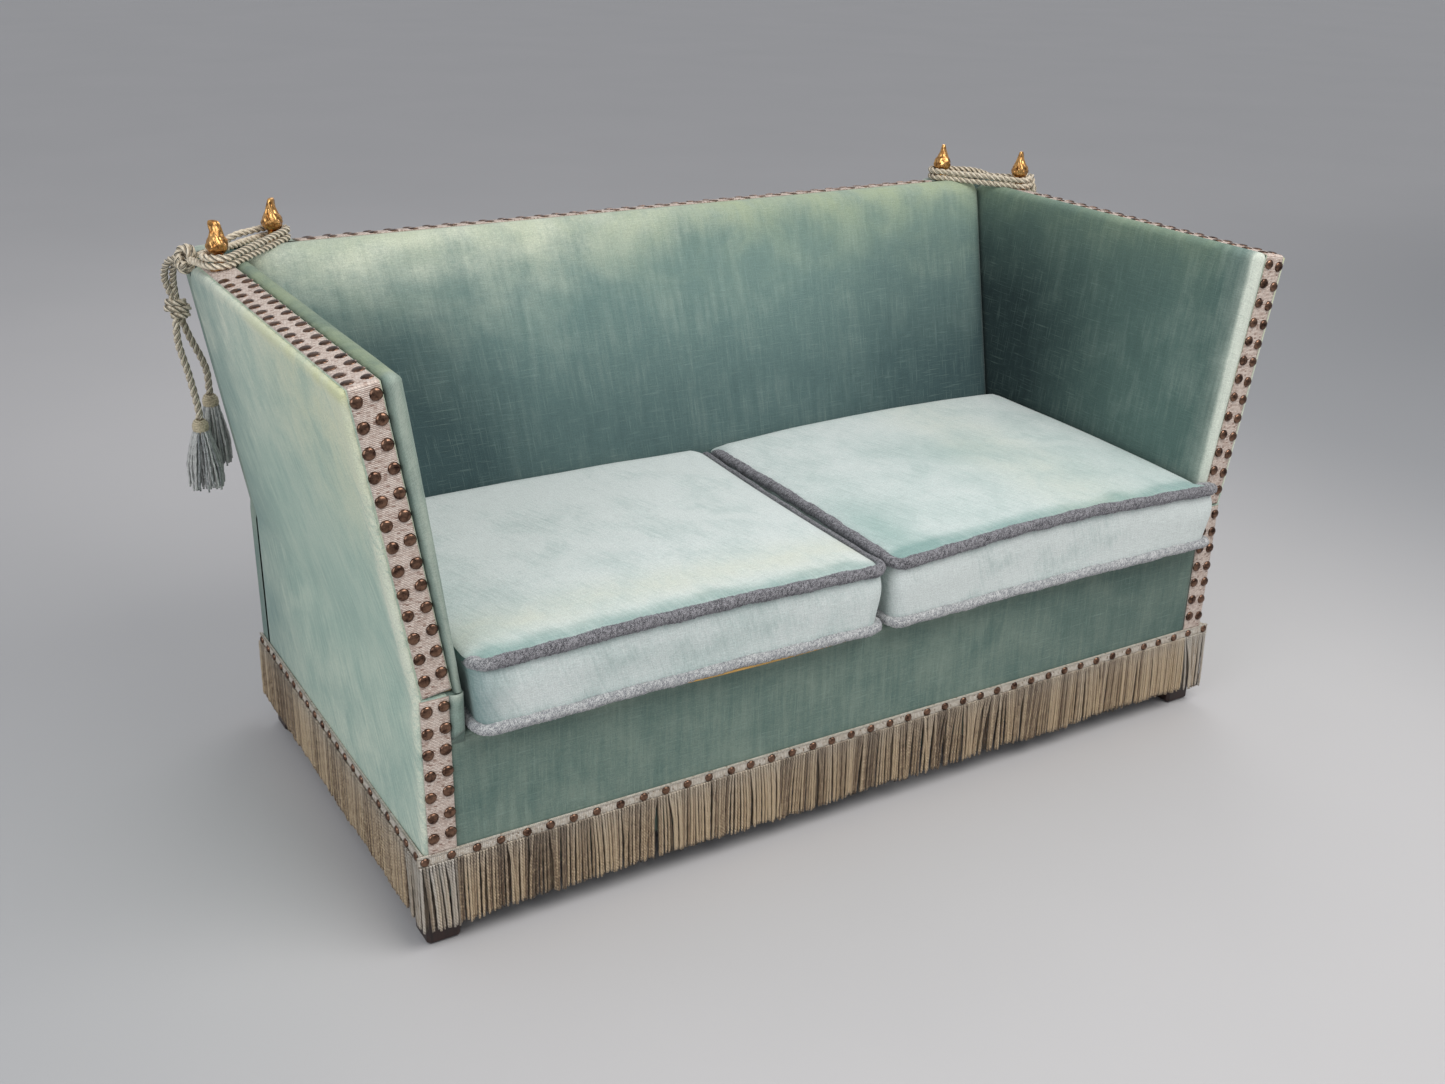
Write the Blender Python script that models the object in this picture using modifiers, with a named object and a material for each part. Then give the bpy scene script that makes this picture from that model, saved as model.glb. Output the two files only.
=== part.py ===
"""Knole sofa with drop arms, loose box cushions, corded finials and bullion fringe.

The sofa stands on the floor at z = 0, faces -Y, and its arms are to +X and -X. The origin is under
the middle of its bounding box. Depths are measured backwards from the plane of the arm fronts.
"""

import math

import bmesh
import bpy
from mathutils import Matrix, Vector

# Driving dimensions, in metres
gap = 0.0003                    # between pieces that touch
overrun = 0.02                  # how far a cutter runs past what it cuts

half_width = 0.8106             # outer face of the fixed sides
base_depth = 0.8425             # arm fronts to the rear face
base_bottom = 0.085             # underside of the seat frame
crease_height = 0.427           # where the arms hinge
crease_slit = 0.0016            # between an arm's foot and the fixed side below it
deck_height = 0.362             # where the cushions lie
back_height = 0.914

arm_lean = math.radians(9.0)    # an upright arm leans out by this much
arm_height = 0.473              # up the outer face, from the crease
arm_rear_clearance = 0.0035     # between an arm and the back's outer cover
arm_thickness_foot = 0.0730
arm_thickness_top = 0.0885
arm_core_thickness = 0.0580     # outer cover and frame, without the inner pad
arm_corner_radius = 0.055       # the rounded upper rear corner
arm_pad_proud = 0.006           # the inner pad stands forward of the outer cover
arm_pad_round = 0.0068
arm_pad_corner = 0.014

cover_wall = 0.0045             # velvet with its wadding, where it is thin
pad_clearance = 0.004           # between the back's padding and the arms
inner_half_width = 0.7365       # inner face of the fixed sides

pivot_inset = 0.0020            # hinge axis, in from the outer face
barrel_radius = 0.0026
hinge_pin_radius = 0.0011
hinge_running_gap = 0.0003
groove_radius = 0.0033          # the crease is hollowed round the hinge barrel
leaf_thickness = 0.0020
leaf_offset = 0.0006            # from the hinge axis to the near face of a leaf
leaf_width = 0.034
hinge_start = 0.050             # from each end of the arm
knuckle_count = 5
knuckle_gap = 0.0004

rail_thickness = 0.0285
rail_top = 0.337
rail_bottom = 0.0880
dust_cloth_thickness = 0.0022
strap_width = 0.060
strap_thickness = 0.0024
seat_strap_count = 8
cross_strap_count = 3
back_strap_count = 5
back_upright_strap_count = 6

apron_thickness = 0.0117
apron_flange_depth = 0.060
apron_round = 0.009
deck_front_gap = 0.0004

post_inner = 0.690
post_outer = 0.750
post_cover = 0.0045             # outer velvet behind the posts
top_rail_height = 0.070
back_cover_depth = 0.0390       # the back's outer cover stands behind the arms
cover_corner_radius = 0.035
back_side_inset = 0.004         # the back's sides lie just inside the arms' outer faces
back_pad_rear_inset = 0.0020    # the padding starts in front of the outer cover
back_pad_top_round = 0.022
back_pad_corner = 0.034
back_pad_depth_foot = 0.2055    # thickness at the deck
back_pad_depth_seat = 0.1995    # thickness at the top of the cushions
back_pad_depth_top = 0.0445     # thickness at the top
back_pad_seat_height = 0.480
back_pad_crown = 0.010

foot_bottom_width = 0.054
foot_top_width = 0.062
foot_edge_round = 0.005
foot_outer_inset = 0.0004
foot_front_inset = 0.0067
stud_radius = 0.0040
stud_length = 0.026
stud_gap = 0.0003

braid_width = 0.044
braid_thickness = 0.0030
braid_outer_inset = 0.0125      # from an arm's outer face to the braid
arm_braid_rear_margin = 0.0030   # the braid stops short of the arm's rounded corner
side_braid_inset = 0.0076
nail_radius = 0.0094
nail_height = 0.0055
nail_pitch = 0.0355
nail_row_inset = 0.0084         # from the braid's edge to the middle of a nail
nail_sides = 5
nail_top_share = 0.55

fringe_top = 0.169
fringe_bottom = 0.024
fringe_heading = 0.019
heading_thickness = 0.0062
skirt_thickness = 0.0115
skirt_groove = 0.0045
skirt_pitch = 0.022
skirt_stand_off = 0.0005
heading_overlap = 0.005

cushion_half_width = 0.7350     # both cushions, from the sofa's centre
cushion_split = 0.0030
cushion_front = -0.044
cushion_rear_clearance = 0.0015
cushion_side_height = 0.1240
cushion_crown = 0.016
cushion_piping = 0.0095
cushion_corner = 0.030
cushion_draw_in = 0.006
cushion_waist = 0.0060
cushion_rest = 0.0004

finial_foot_radius = 0.0150
finial_foot_height = 0.0050
finial_neck_radius = 0.0078
finial_bulb_radius = 0.0170
finial_bulb_height = 0.0600
finial_stud_radius = 0.0030
finial_stud_length = 0.030
arm_finial_rear_inset = 0.100
arm_finial_neck = 0.0200
back_finial_x = 0.729
back_finial_rear_inset = 0.0305
back_finial_neck = 0.0145
back_braid_half = 0.690
back_braid_rear_inset = 0.0485  # to the braid's front edge

rope_radius = 0.00575
tail_radius = 0.0066             # the loose ends aren't pulled tight
rope_turn_radius = 0.0235
rope_arm_height = 0.9112        # middle of the first turn, at the arm's finial
rope_back_height = 0.9206       # and at the back's finial
rope_climb = 0.0130
rope_turn_points = 24
knot_radius = 0.0180
lower_knot_radius = 0.0160
strand_offset = 0.0064          # half the distance between the two strands below a knot
tassel_head_radius = 0.0150
tassel_neck_radius = 0.0115
tassel_skirt_radius = 0.0225
tassel_length = 0.132

turned_steps = 14
small_edge = 0.0012
timber_edge = 0.0025

# Worked out from the dimensions above
cover_front = base_depth - back_cover_depth
arm_depth = cover_front - arm_rear_clearance
hinge_length = arm_depth - 2 * hinge_start
back_pad_rear = cover_front - back_pad_rear_inset
back_pad_front_foot = back_pad_rear - back_pad_depth_foot
back_pad_front_seat = back_pad_rear - back_pad_depth_seat
back_pad_front_top = back_pad_rear - back_pad_depth_top
cushion_rear = back_pad_front_foot - cushion_rear_clearance
arm_finial_depth = arm_depth - arm_finial_rear_inset
back_finial_depth = base_depth - back_finial_rear_inset
back_braid_front = base_depth - back_braid_rear_inset
rear_overhang = base_depth
front_overhang = -cushion_front
front_y = (front_overhang - rear_overhang) / 2
pivot_x = half_width - pivot_inset
arm_braid_end = arm_depth - arm_corner_radius - arm_braid_rear_margin
side_top = crease_height - crease_slit / 2
timber_top = crease_height - leaf_offset - leaf_thickness - gap
arm_frame_foot = crease_height + leaf_offset + leaf_thickness + gap
leaf_window = leaf_offset + leaf_thickness + 1.2 * gap
flare = math.tan(arm_lean)
rear_rail_rear = back_pad_rear + strap_thickness + 2 * gap
post_front = rear_rail_rear + gap
post_rear = base_depth - post_cover
braid_top = back_height + gap + braid_thickness

sides = {"left": -1, "right": 1}

# Rope routes: X outwards from the sofa's centre, depth behind the arm fronts, height
upper_knots = {"left": (0.8870, 0.7750, 0.9080), "right": (0.9220, 0.7450, 0.9000)}
lower_knots = {"left": (0.8950, 0.8450, 0.8080), "right": (0.9380, 0.7700, 0.7950)}
strand_routes = {
    "left": [(0.8985, 0.7925, 0.9040), (0.9060, 0.8120, 0.8900), (0.9060, 0.8330, 0.8600)],
    "right": [(0.9370, 0.7530, 0.8890), (0.9450, 0.7610, 0.8670), (0.9440, 0.7680, 0.8420)],
}
tail_routes = {
    "left": {
        "front": [(0.9030, 0.8344, 0.7789), (0.9020, 0.8370, 0.7450), (0.8905, 0.8410, 0.6900),
                  (0.8830, 0.8400, 0.6400), (0.8810, 0.8400, 0.6080)],
        "rear": [(0.8870, 0.8556, 0.7789), (0.8765, 0.8610, 0.7480), (0.8600, 0.8700, 0.7080),
                 (0.8520, 0.8750, 0.6800), (0.8510, 0.8760, 0.6400)],
    },
    "right": {
        "front": [(0.9428, 0.7577, 0.7659), (0.9440, 0.7490, 0.7350), (0.9440, 0.7440, 0.6900),
                  (0.9430, 0.7420, 0.6400), (0.9430, 0.7410, 0.6080)],
        "rear": [(0.9332, 0.7823, 0.7659), (0.9320, 0.7930, 0.7400), (0.9320, 0.8010, 0.7080),
                 (0.9320, 0.8050, 0.6800), (0.9320, 0.8060, 0.6400)],
    },
}


def clear_scene():
    for old in list(bpy.data.objects):
        bpy.data.objects.remove(old, do_unlink=True)


clear_scene()
parts = bpy.data.collections.new("knole_sofa")
cutters = bpy.data.collections.new("cutters")
bpy.context.scene.collection.children.link(parts)
bpy.context.scene.collection.children.link(cutters)


def finish(name, colour, roughness, metallic=0.0):
    made = bpy.data.materials.new(name)
    made.use_nodes = True
    shader = made.node_tree.nodes["Principled BSDF"]
    shader.inputs["Base Color"].default_value = (*colour, 1.0)
    shader.inputs["Roughness"].default_value = roughness
    shader.inputs["Metallic"].default_value = metallic
    return made


finishes = {
    "velvet_sage": finish("velvet_sage", (0.34, 0.45, 0.38), 0.85),
    "velvet_teal": finish("velvet_teal", (0.14, 0.25, 0.23), 0.85),
    "velvet_aqua": finish("velvet_aqua", (0.48, 0.58, 0.55), 0.85),
    "braid": finish("braid", (0.62, 0.54, 0.46), 0.9),
    "fringe": finish("fringe", (0.38, 0.32, 0.24), 0.9),
    "timber": finish("timber", (0.50, 0.36, 0.22), 0.7),
    "foot_wood": finish("foot_wood", (0.06, 0.025, 0.018), 0.4),
    "webbing": finish("webbing", (0.12, 0.11, 0.10), 0.9),
    "deck_cloth": finish("deck_cloth", (0.55, 0.50, 0.40), 0.9),
    "dust_cloth": finish("dust_cloth", (0.03, 0.03, 0.03), 0.95),
    "brass": finish("brass", (0.80, 0.55, 0.22), 0.25, 1.0),
    "steel": finish("steel", (0.55, 0.55, 0.55), 0.4, 1.0),
    "rope": finish("rope", (0.60, 0.54, 0.42), 0.85),
    "tassel": finish("tassel", (0.36, 0.37, 0.37), 0.9),
}


def anchor(name, location, parent=None):
    empty = bpy.data.objects.new(name, None)
    empty.location = location
    empty.parent = parent
    parts.objects.link(empty)
    return empty


sofa = anchor("sofa", (0, front_y, 0))
arm_pivots = {side: anchor(side + "_arm_pivot", (sign * pivot_x, 0, crease_height), sofa)
              for side, sign in sides.items()}


def place(name, mesh, material, parent=sofa, lean=0.0):
    """Make an object of a mesh, as a part of the sofa."""
    made = bpy.data.objects.new(name, mesh)
    made.parent = parent
    made.rotation_euler = (0, lean, 0)
    mesh.materials.clear()
    mesh.materials.append(finishes[material])
    parts.objects.link(made)
    return made


def place_cutter(name, mesh, parent=sofa, lean=0.0):
    made = bpy.data.objects.new(name, mesh)
    made.parent = parent
    made.rotation_euler = (0, lean, 0)
    made.hide_render = True
    made.display_type = "WIRE"
    cutters.objects.link(made)
    return made


def mesh_from(shape, name):
    bmesh.ops.recalc_face_normals(shape, faces=shape.faces)
    mesh = bpy.data.meshes.new(name)
    shape.to_mesh(mesh)
    shape.free()
    return mesh


def box_mesh(name, x, y, z):
    """A box from its low and high values along each axis."""
    shape = bmesh.new()
    bmesh.ops.create_cube(shape, size=1.0)
    spans = [abs(high - low) for low, high in (x, y, z)]
    middle = [(low + high) / 2 for low, high in (x, y, z)]
    bmesh.ops.scale(shape, vec=spans, verts=shape.verts)
    bmesh.ops.translate(shape, vec=middle, verts=shape.verts)
    return mesh_from(shape, name)


def rod_mesh(name, radius, start, length, axis="Z", sides_round=16, middle=(0, 0)):
    """A cylinder along an axis, from start, with its other two coordinates at middle."""
    shape = bmesh.new()
    bmesh.ops.create_cone(shape, cap_ends=True, segments=sides_round, radius1=radius, radius2=radius, depth=length)
    bmesh.ops.translate(shape, vec=(0, 0, start + length / 2), verts=shape.verts)
    if axis == "Y":
        bmesh.ops.rotate(shape, matrix=Matrix.Rotation(math.radians(-90), 3, "X"), verts=shape.verts)
        bmesh.ops.translate(shape, vec=(middle[0], 0, middle[1]), verts=shape.verts)
    else:
        bmesh.ops.translate(shape, vec=(middle[0], middle[1], 0), verts=shape.verts)
    return mesh_from(shape, name)


def curve_mesh(name, data):
    """Turn a curve into a welded mesh and remove the curve."""
    holder = bpy.data.objects.new(name, data)
    bpy.context.scene.collection.objects.link(holder)
    bpy.context.view_layer.update()
    seen = holder.evaluated_get(bpy.context.evaluated_depsgraph_get())
    mesh = bpy.data.meshes.new_from_object(seen)
    mesh.transform(holder.matrix_world)
    bpy.data.objects.remove(holder, do_unlink=True)
    bpy.data.curves.remove(data)
    shape = bmesh.new()
    shape.from_mesh(mesh)
    bmesh.ops.remove_doubles(shape, verts=shape.verts, dist=gap / 6)
    bpy.data.meshes.remove(mesh)
    return shape


plane_turns = {
    "XY": Matrix(((1, 0, 0), (0, 1, 0), (0, 0, 1))),
    "YZ": Matrix(((0, 0, 1), (1, 0, 0), (0, 1, 0))),
    "XZ": Matrix(((1, 0, 0), (0, 0, -1), (0, 1, 0))),
}


def prism_mesh(name, outline, plane, low, high):
    """A flat outline in a plane, thickened along the plane's normal from low to high."""
    shape = bmesh.new()
    ends = [[shape.verts.new((across, up, level)) for across, up in outline] for level in (low, high)]
    for index in range(len(outline)):
        following = (index + 1) % len(outline)
        shape.faces.new((ends[0][index], ends[0][following], ends[1][following], ends[1][index]))
    for end in ends:
        shape.faces.new(end)
    bmesh.ops.rotate(shape, matrix=plane_turns[plane], verts=shape.verts)
    return mesh_from(shape, name)


def tube_mesh(name, points, radius, bevel_resolution):
    data = bpy.data.curves.new(name, "CURVE")
    data.dimensions = "3D"
    data.bevel_depth = radius
    data.bevel_resolution = bevel_resolution
    data.use_fill_caps = True
    spline = data.splines.new("POLY")
    spline.points.add(len(points) - 1)
    for point, place_of in zip(spline.points, points):
        point.co = (*place_of, 1)
    return mesh_from(curve_mesh(name, data), name)


def tube(name, points, radius, material, parent, bevel_resolution=2):
    """A rope or cord: a curve object with a round bevel and filled caps."""
    data = bpy.data.curves.new(name, "CURVE")
    data.dimensions = "3D"
    data.bevel_depth = radius
    data.bevel_resolution = bevel_resolution
    data.use_fill_caps = True
    spline = data.splines.new("POLY")
    spline.points.add(len(points) - 1)
    for point, place_of in zip(spline.points, points):
        point.co = (*place_of, 1)
    made = bpy.data.objects.new(name, data)
    made.parent = parent
    data.materials.append(finishes[material])
    parts.objects.link(made)
    return made


def bevel(obj, width, segments=2, angle=40):
    rounding = obj.modifiers.new("rounded_edges", "BEVEL")
    rounding.width = width
    rounding.segments = segments
    rounding.limit_method = "ANGLE"
    rounding.angle_limit = math.radians(angle)
    return obj


def combine(obj, other, operation="DIFFERENCE"):
    change = obj.modifiers.new(other.name, "BOOLEAN")
    change.object = other
    change.operation = operation
    change.solver = "EXACT"
    return obj


def smooth(obj, angle=35):
    obj.data.shade_smooth()
    obj.data.set_sharp_from_angle(angle=math.radians(angle))
    return obj


def turned(name, profile, material, parent, location, steps=turned_steps):
    """A profile of (radius, height) pairs, from the top down, turned about a vertical axis."""
    shape = bmesh.new()
    rings = [shape.verts.new((radius, 0, height)) for radius, height in profile]
    for upper, lower in zip(rings, rings[1:]):
        shape.edges.new((upper, lower))
    mesh = bpy.data.meshes.new(name)
    shape.to_mesh(mesh)
    shape.free()
    made = place(name, mesh, material, parent)
    made.location = location
    spin = made.modifiers.new("turning", "SCREW")
    spin.axis = "Z"
    spin.angle = math.radians(360)
    spin.steps = steps
    spin.render_steps = steps
    spin.use_merge_vertices = True
    spin.merge_threshold = gap / 6
    spin.use_smooth_shade = True
    return made


def rounded_outline(corners, steps=5):
    """An outline of (across, up, radius) corners, each rounded by an arc of its radius."""
    points = []
    count = len(corners)
    for index, (across, up, radius) in enumerate(corners):
        here = Vector((across, up))
        before = Vector(corners[index - 1][:2]) - here
        after = Vector(corners[(index + 1) % count][:2]) - here
        if radius == 0:
            points.append((here.x, here.y))
            continue
        half = before.angle(after) / 2
        reach = radius / math.tan(half)
        centre = here + (before.normalized() + after.normalized()).normalized() * (radius / math.sin(half))
        start = here + before.normalized() * reach - centre
        end = here + after.normalized() * reach - centre
        swing = start.angle_signed(end)
        for step in range(steps + 1):
            turn = Matrix.Rotation(-swing * step / steps, 2)
            spot = centre + turn @ start
            points.append((spot.x, spot.y))
    return points


def loft_mesh(name, rings):
    """A closed skin through rings of equal count, with flat ends."""
    shape = bmesh.new()
    rows = [[shape.verts.new(point) for point in ring] for ring in rings]
    for lower, upper in zip(rows, rows[1:]):
        for index in range(len(lower)):
            following = (index + 1) % len(lower)
            shape.faces.new((lower[index], lower[following], upper[following], upper[index]))
    shape.faces.new(rows[0])
    shape.faces.new(rows[-1])
    return mesh_from(shape, name)


def smooth_route(points, spacing):
    """Points at a steady spacing on a smooth curve through the given ones."""
    spots = [Vector(point) for point in points]
    ends = [2 * spots[0] - spots[1]] + spots + [2 * spots[-1] - spots[-2]]
    dense = []
    samples = 12
    for index in range(len(spots) - 1):
        a, b, c, d = ends[index:index + 4]
        for step in range(samples):
            t = step / samples
            dense.append(0.5 * (2 * b + (c - a) * t + (2 * a - 5 * b + 4 * c - d) * t ** 2
                                + (3 * b - a - 3 * c + d) * t ** 3))
    dense.append(spots[-1])
    lengths = [0.0]
    for before, after in zip(dense, dense[1:]):
        lengths.append(lengths[-1] + (after - before).length)
    count = max(2, round(lengths[-1] / spacing) + 1)
    route = []
    place_in = 0
    for index in range(count):
        wanted = lengths[-1] * index / (count - 1)
        while place_in < len(lengths) - 2 and lengths[place_in + 1] < wanted:
            place_in += 1
        stretch = lengths[place_in + 1] - lengths[place_in]
        share = (wanted - lengths[place_in]) / stretch
        route.append(dense[place_in].lerp(dense[place_in + 1], share))
    return route


def on_side(sign, spot):
    """A place given with X outwards, on the named side of the sofa."""
    return Vector((sign * spot[0], spot[1], spot[2]))


def across(sign, inner, outer):
    return sorted((sign * inner, sign * outer))


def side_outline(radius, corner, top, foot, front, rear):
    """An arm's outline seen from the side: square in front, rounded at the upper rear."""
    return rounded_outline([(front, foot, 0), (front, top, corner), (rear, top, radius), (rear, foot, 0)])


# Straps woven as one net

def strap_edges(low, high, count, width):
    """Edges of evenly spaced straps, the outer two against the ends."""
    pitch = (high - low - width) / (count - 1)
    edges = []
    for index in range(count):
        edges += [low + pitch * index, low + pitch * index + width]
    return edges


def strap_net(name, lengthwise, crosswise, upright, level, parent=sofa):
    """Crossing straps in one sheet: a grid whose cells between straps are left out."""
    shape = bmesh.new()
    grid = [[shape.verts.new((x, level, y) if upright else (x, y, level)) for y in crosswise] for x in lengthwise]
    for column in range(len(lengthwise) - 1):
        for row in range(len(crosswise) - 1):
            if column % 2 and row % 2:
                continue
            shape.faces.new((grid[column][row], grid[column + 1][row],
                             grid[column + 1][row + 1], grid[column][row + 1]))
    made = place(name, mesh_from(shape, name), "webbing", parent)
    thicken = made.modifiers.new("strap_thickness", "SOLIDIFY")
    thicken.thickness = strap_thickness
    thicken.offset = 0
    return made


# Seat

def build_seat():
    rail_x = (-inner_half_width + gap, inner_half_width - gap)
    front_back = apron_thickness + gap
    bevel(place("front_rail", box_mesh("front_rail", rail_x, (front_back, front_back + rail_thickness),
                                       (rail_bottom, rail_top)), "timber"), timber_edge, 1)
    bevel(place("rear_rail", box_mesh("rear_rail", rail_x, (rear_rail_rear - rail_thickness, rear_rail_rear),
                                      (rail_bottom, rail_top)), "timber"), timber_edge, 1)
    strap_level = rail_top + gap + strap_thickness / 2
    strap_x = (-inner_half_width + overrun, inner_half_width - overrun)
    strap_y = (front_back + gap, rear_rail_rear - strap_width / 4)
    strap_net("seat_webbing", strap_edges(*strap_x, seat_strap_count, strap_width),
              strap_edges(*strap_y, cross_strap_count, strap_width), False, strap_level)
    flange_foot = rail_top + strap_thickness + 3 * gap
    apron = [(0, fringe_top - fringe_heading, 0), (0, deck_height, apron_round),
             (apron_flange_depth, deck_height, 0), (apron_flange_depth, flange_foot, 0),
             (apron_thickness, flange_foot, 0), (apron_thickness, base_bottom, 0), (0, base_bottom, 0)]
    smooth(place("front_apron", prism_mesh("front_apron", rounded_outline(apron), "YZ", *rail_x), "velvet_teal"))
    deck_y = (apron_flange_depth + deck_front_gap, back_pad_front_foot - gap)
    bevel(place("seat_deck", box_mesh("seat_deck", rail_x, deck_y, (flange_foot, deck_height)), "deck_cloth"),
          small_edge, 1)
    place("dust_cover", box_mesh("dust_cover", rail_x, (front_back, rear_rail_rear),
                                 (rail_bottom - gap - dust_cloth_thickness, rail_bottom - gap)), "dust_cloth")


def build_fixed_side(side, sign):
    """The side below an arm: a timber frame in a velvet cover that is open above and below."""
    outer = place(side + "_side_cover", box_mesh(side, across(sign, inner_half_width, half_width),
                                                 (0, cover_front - gap), (base_bottom, side_top)), "velvet_sage")
    bevel(outer, small_edge, 2)
    core_x = (inner_half_width + cover_wall, half_width - cover_wall)
    core_y = (cover_wall, cover_front - gap - cover_wall)
    hollow_x = (core_x[0] - gap, core_x[1] + gap)
    hollow_y = (core_y[0] - gap, core_y[1] + gap)
    hollow = place_cutter(side + "_side_hollow", box_mesh(side, across(sign, *hollow_x), hollow_y,
                                                          (base_bottom - overrun, side_top + overrun)))
    combine(outer, hollow)
    combine(outer, grooves[side])
    combine(outer, windows[side])
    frame = place(side + "_side_frame", box_mesh(side, across(sign, *core_x), core_y,
                                                 (base_bottom + gap, timber_top)), "timber")
    bevel(frame, timber_edge / 2, 1)
    combine(frame, grooves[side])
    for end, middle_y in foot_rows.items():
        name = side + "_" + end + "_stud_hole"
        hole = place_cutter(name, rod_mesh(name, stud_radius + stud_gap, base_bottom - overrun,
                                           overrun + stud_length + stud_gap, "Z", 12,
                                           (sign * foot_middle_x, middle_y)))
        combine(frame, hole)


def build_foot(side, sign, end):
    """A block tapered on its two inner faces, with its screw stud, which stands in the side frame."""
    name = end + "_" + side + "_foot"
    inward_y = 1 if end == "front" else -1
    x = foot_middle_x
    y = foot_rows[end]
    shape = bmesh.new()
    rings = []
    for width, height in ((foot_bottom_width, 0), (foot_top_width, base_bottom - gap)):
        outer_x = x + foot_bottom_width / 2
        outer_y = y - inward_y * foot_bottom_width / 2
        rings.append([shape.verts.new((sign * across_x, along_y, height)) for across_x, along_y in (
            (outer_x, outer_y), (outer_x, outer_y + inward_y * width),
            (outer_x - width, outer_y + inward_y * width), (outer_x - width, outer_y))])
    for index in range(4):
        following = (index + 1) % 4
        shape.faces.new((rings[0][index], rings[0][following], rings[1][following], rings[1][index]))
    for ring in rings:
        shape.faces.new(ring)
    foot = bevel(place(name, mesh_from(shape, name), "foot_wood"), foot_edge_round, 1)
    stud = rod_mesh(name + "_stud", stud_radius, base_bottom - overrun, stud_length + overrun, "Z", 12, (sign * x, y))
    combine(foot, place_cutter(name + "_stud", stud), "UNION")


# Hinge under an arm

def knuckle_spans(moving):
    """Depth spans of the barrel's knuckles that belong to one leaf."""
    length = hinge_length / knuckle_count
    spans = []
    for index in range(knuckle_count):
        if index % 2 == moving:
            spans.append((hinge_start + index * length + knuckle_gap / 2,
                          hinge_start + (index + 1) * length - knuckle_gap / 2))
    return spans


def build_leaf(side, sign, moving):
    """A strip leaf with its knuckles, relieved round the knuckles of the other leaf."""
    kind = "moving" if moving else "fixed"
    name = side + "_hinge_" + kind + "_leaf"
    level = (leaf_offset, leaf_offset + leaf_thickness)
    if not moving:
        level = (-level[1], -level[0])
    pivot = arm_pivots[side]
    plate_x = sorted((-sign * barrel_radius / 4, -sign * leaf_width))
    plate = place(name, box_mesh(name, plate_x, (hinge_start, hinge_start + hinge_length), level), "steel", pivot)
    for low, high in knuckle_spans(1 - moving):
        relief_name = name + "_relief_" + str(round(low / hinge_length * knuckle_count))
        relief = rod_mesh(relief_name, barrel_radius + knuckle_gap, low - knuckle_gap, high - low + 2 * knuckle_gap,
                          "Y", 12)
        combine(plate, place_cutter(relief_name, relief, pivot))
    for low, high in knuckle_spans(moving):
        knuckle_name = name + "_knuckle_" + str(round(low / hinge_length * knuckle_count))
        knuckle = rod_mesh(knuckle_name, barrel_radius, low, high - low, "Y", 12)
        combine(plate, place_cutter(knuckle_name, knuckle, pivot), "UNION")
    bore_name = name + "_bore"
    bore = rod_mesh(bore_name, hinge_pin_radius + hinge_running_gap, hinge_start - overrun,
                    hinge_length + 2 * overrun, "Y", 12)
    combine(plate, place_cutter(bore_name, bore, pivot))


def build_hinge(side, sign):
    build_leaf(side, sign, 0)
    build_leaf(side, sign, 1)
    pin = rod_mesh(side + "_hinge_pin", hinge_pin_radius, hinge_start, hinge_length, "Y", 12)
    place(side + "_hinge_pin", pin, "steel", arm_pivots[side])


# Arms. Their pieces are drawn upright and then leaned about the hinge axis.

def inward(sign, low, high):
    """X of a span measured inwards from an arm's outer face, about the hinge axis."""
    return sorted((sign * (pivot_inset - low), sign * (pivot_inset - high)))


def level_foot(obj, side, height):
    """Cut a leaning piece level at its foot."""
    name = obj.name + "_foot_cut"
    cut = box_mesh(name, (-half_width / 4, half_width / 4), (-overrun, arm_depth + overrun),
                   (-half_width / 4, height - crease_height))
    combine(obj, place_cutter(name, cut, arm_pivots[side]))


def build_arm(side, sign):
    pivot = arm_pivots[side]
    lean = sign * arm_lean
    foot = -arm_thickness_top * flare - overrun
    shell = place(side + "_arm_cover",
                  prism_mesh(side, side_outline(arm_corner_radius, 0, arm_height, foot, 0, arm_depth),
                             "YZ", *inward(sign, 0, arm_core_thickness)), "velvet_sage", pivot, lean)
    bevel(shell, small_edge, 2)
    inner_radius = arm_corner_radius - cover_wall
    hollow_outline = side_outline(inner_radius + gap, 0, arm_height - cover_wall + gap, foot - overrun,
                                  cover_wall - gap, arm_depth - cover_wall + gap)
    hollow = place_cutter(side + "_arm_hollow", prism_mesh(
        side, hollow_outline, "YZ", *inward(sign, cover_wall - gap, arm_core_thickness + overrun)), pivot, lean)
    combine(shell, hollow)
    level_foot(shell, side, crease_height + crease_slit / 2)
    combine(shell, grooves[side])
    combine(shell, windows[side])

    frame_outline = side_outline(inner_radius, 0, arm_height - cover_wall, foot,
                                 cover_wall, arm_depth - cover_wall)
    frame = place(side + "_arm_frame", prism_mesh(side, frame_outline, "YZ",
                                                  *inward(sign, cover_wall, arm_core_thickness - gap)),
                  "timber", pivot, lean)
    level_foot(frame, side, arm_frame_foot)
    combine(frame, grooves[side])

    build_arm_pad(side, sign, pivot, lean, foot)
    braid = build_arm_braid(side, sign, pivot, lean)
    build_arm_finial(side, sign, (shell, frame, braid))


def build_arm_pad(side, sign, pivot, lean, foot):
    """The padded inner face, thinner at its foot and rounded all round."""
    name = side + "_arm_pad"
    outline = side_outline(arm_corner_radius, arm_pad_corner, arm_height, foot, -arm_pad_proud, arm_depth)
    mesh = prism_mesh(name, outline, "YZ", *inward(sign, arm_core_thickness + gap, arm_thickness_top))
    slope = (arm_thickness_top - arm_thickness_foot) / arm_height
    for vert in mesh.vertices:
        depth_in = pivot_inset - sign * vert.co.x
        if depth_in > arm_core_thickness + 2 * gap:
            vert.co.x += sign * slope * (arm_height - vert.co.z)
    pad = place(name, mesh, "velvet_teal", pivot, lean)
    bevel(pad, arm_pad_round, 3, 50)
    level_foot(pad, side, crease_height + crease_slit / 2)
    smooth(pad, 50)


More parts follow.
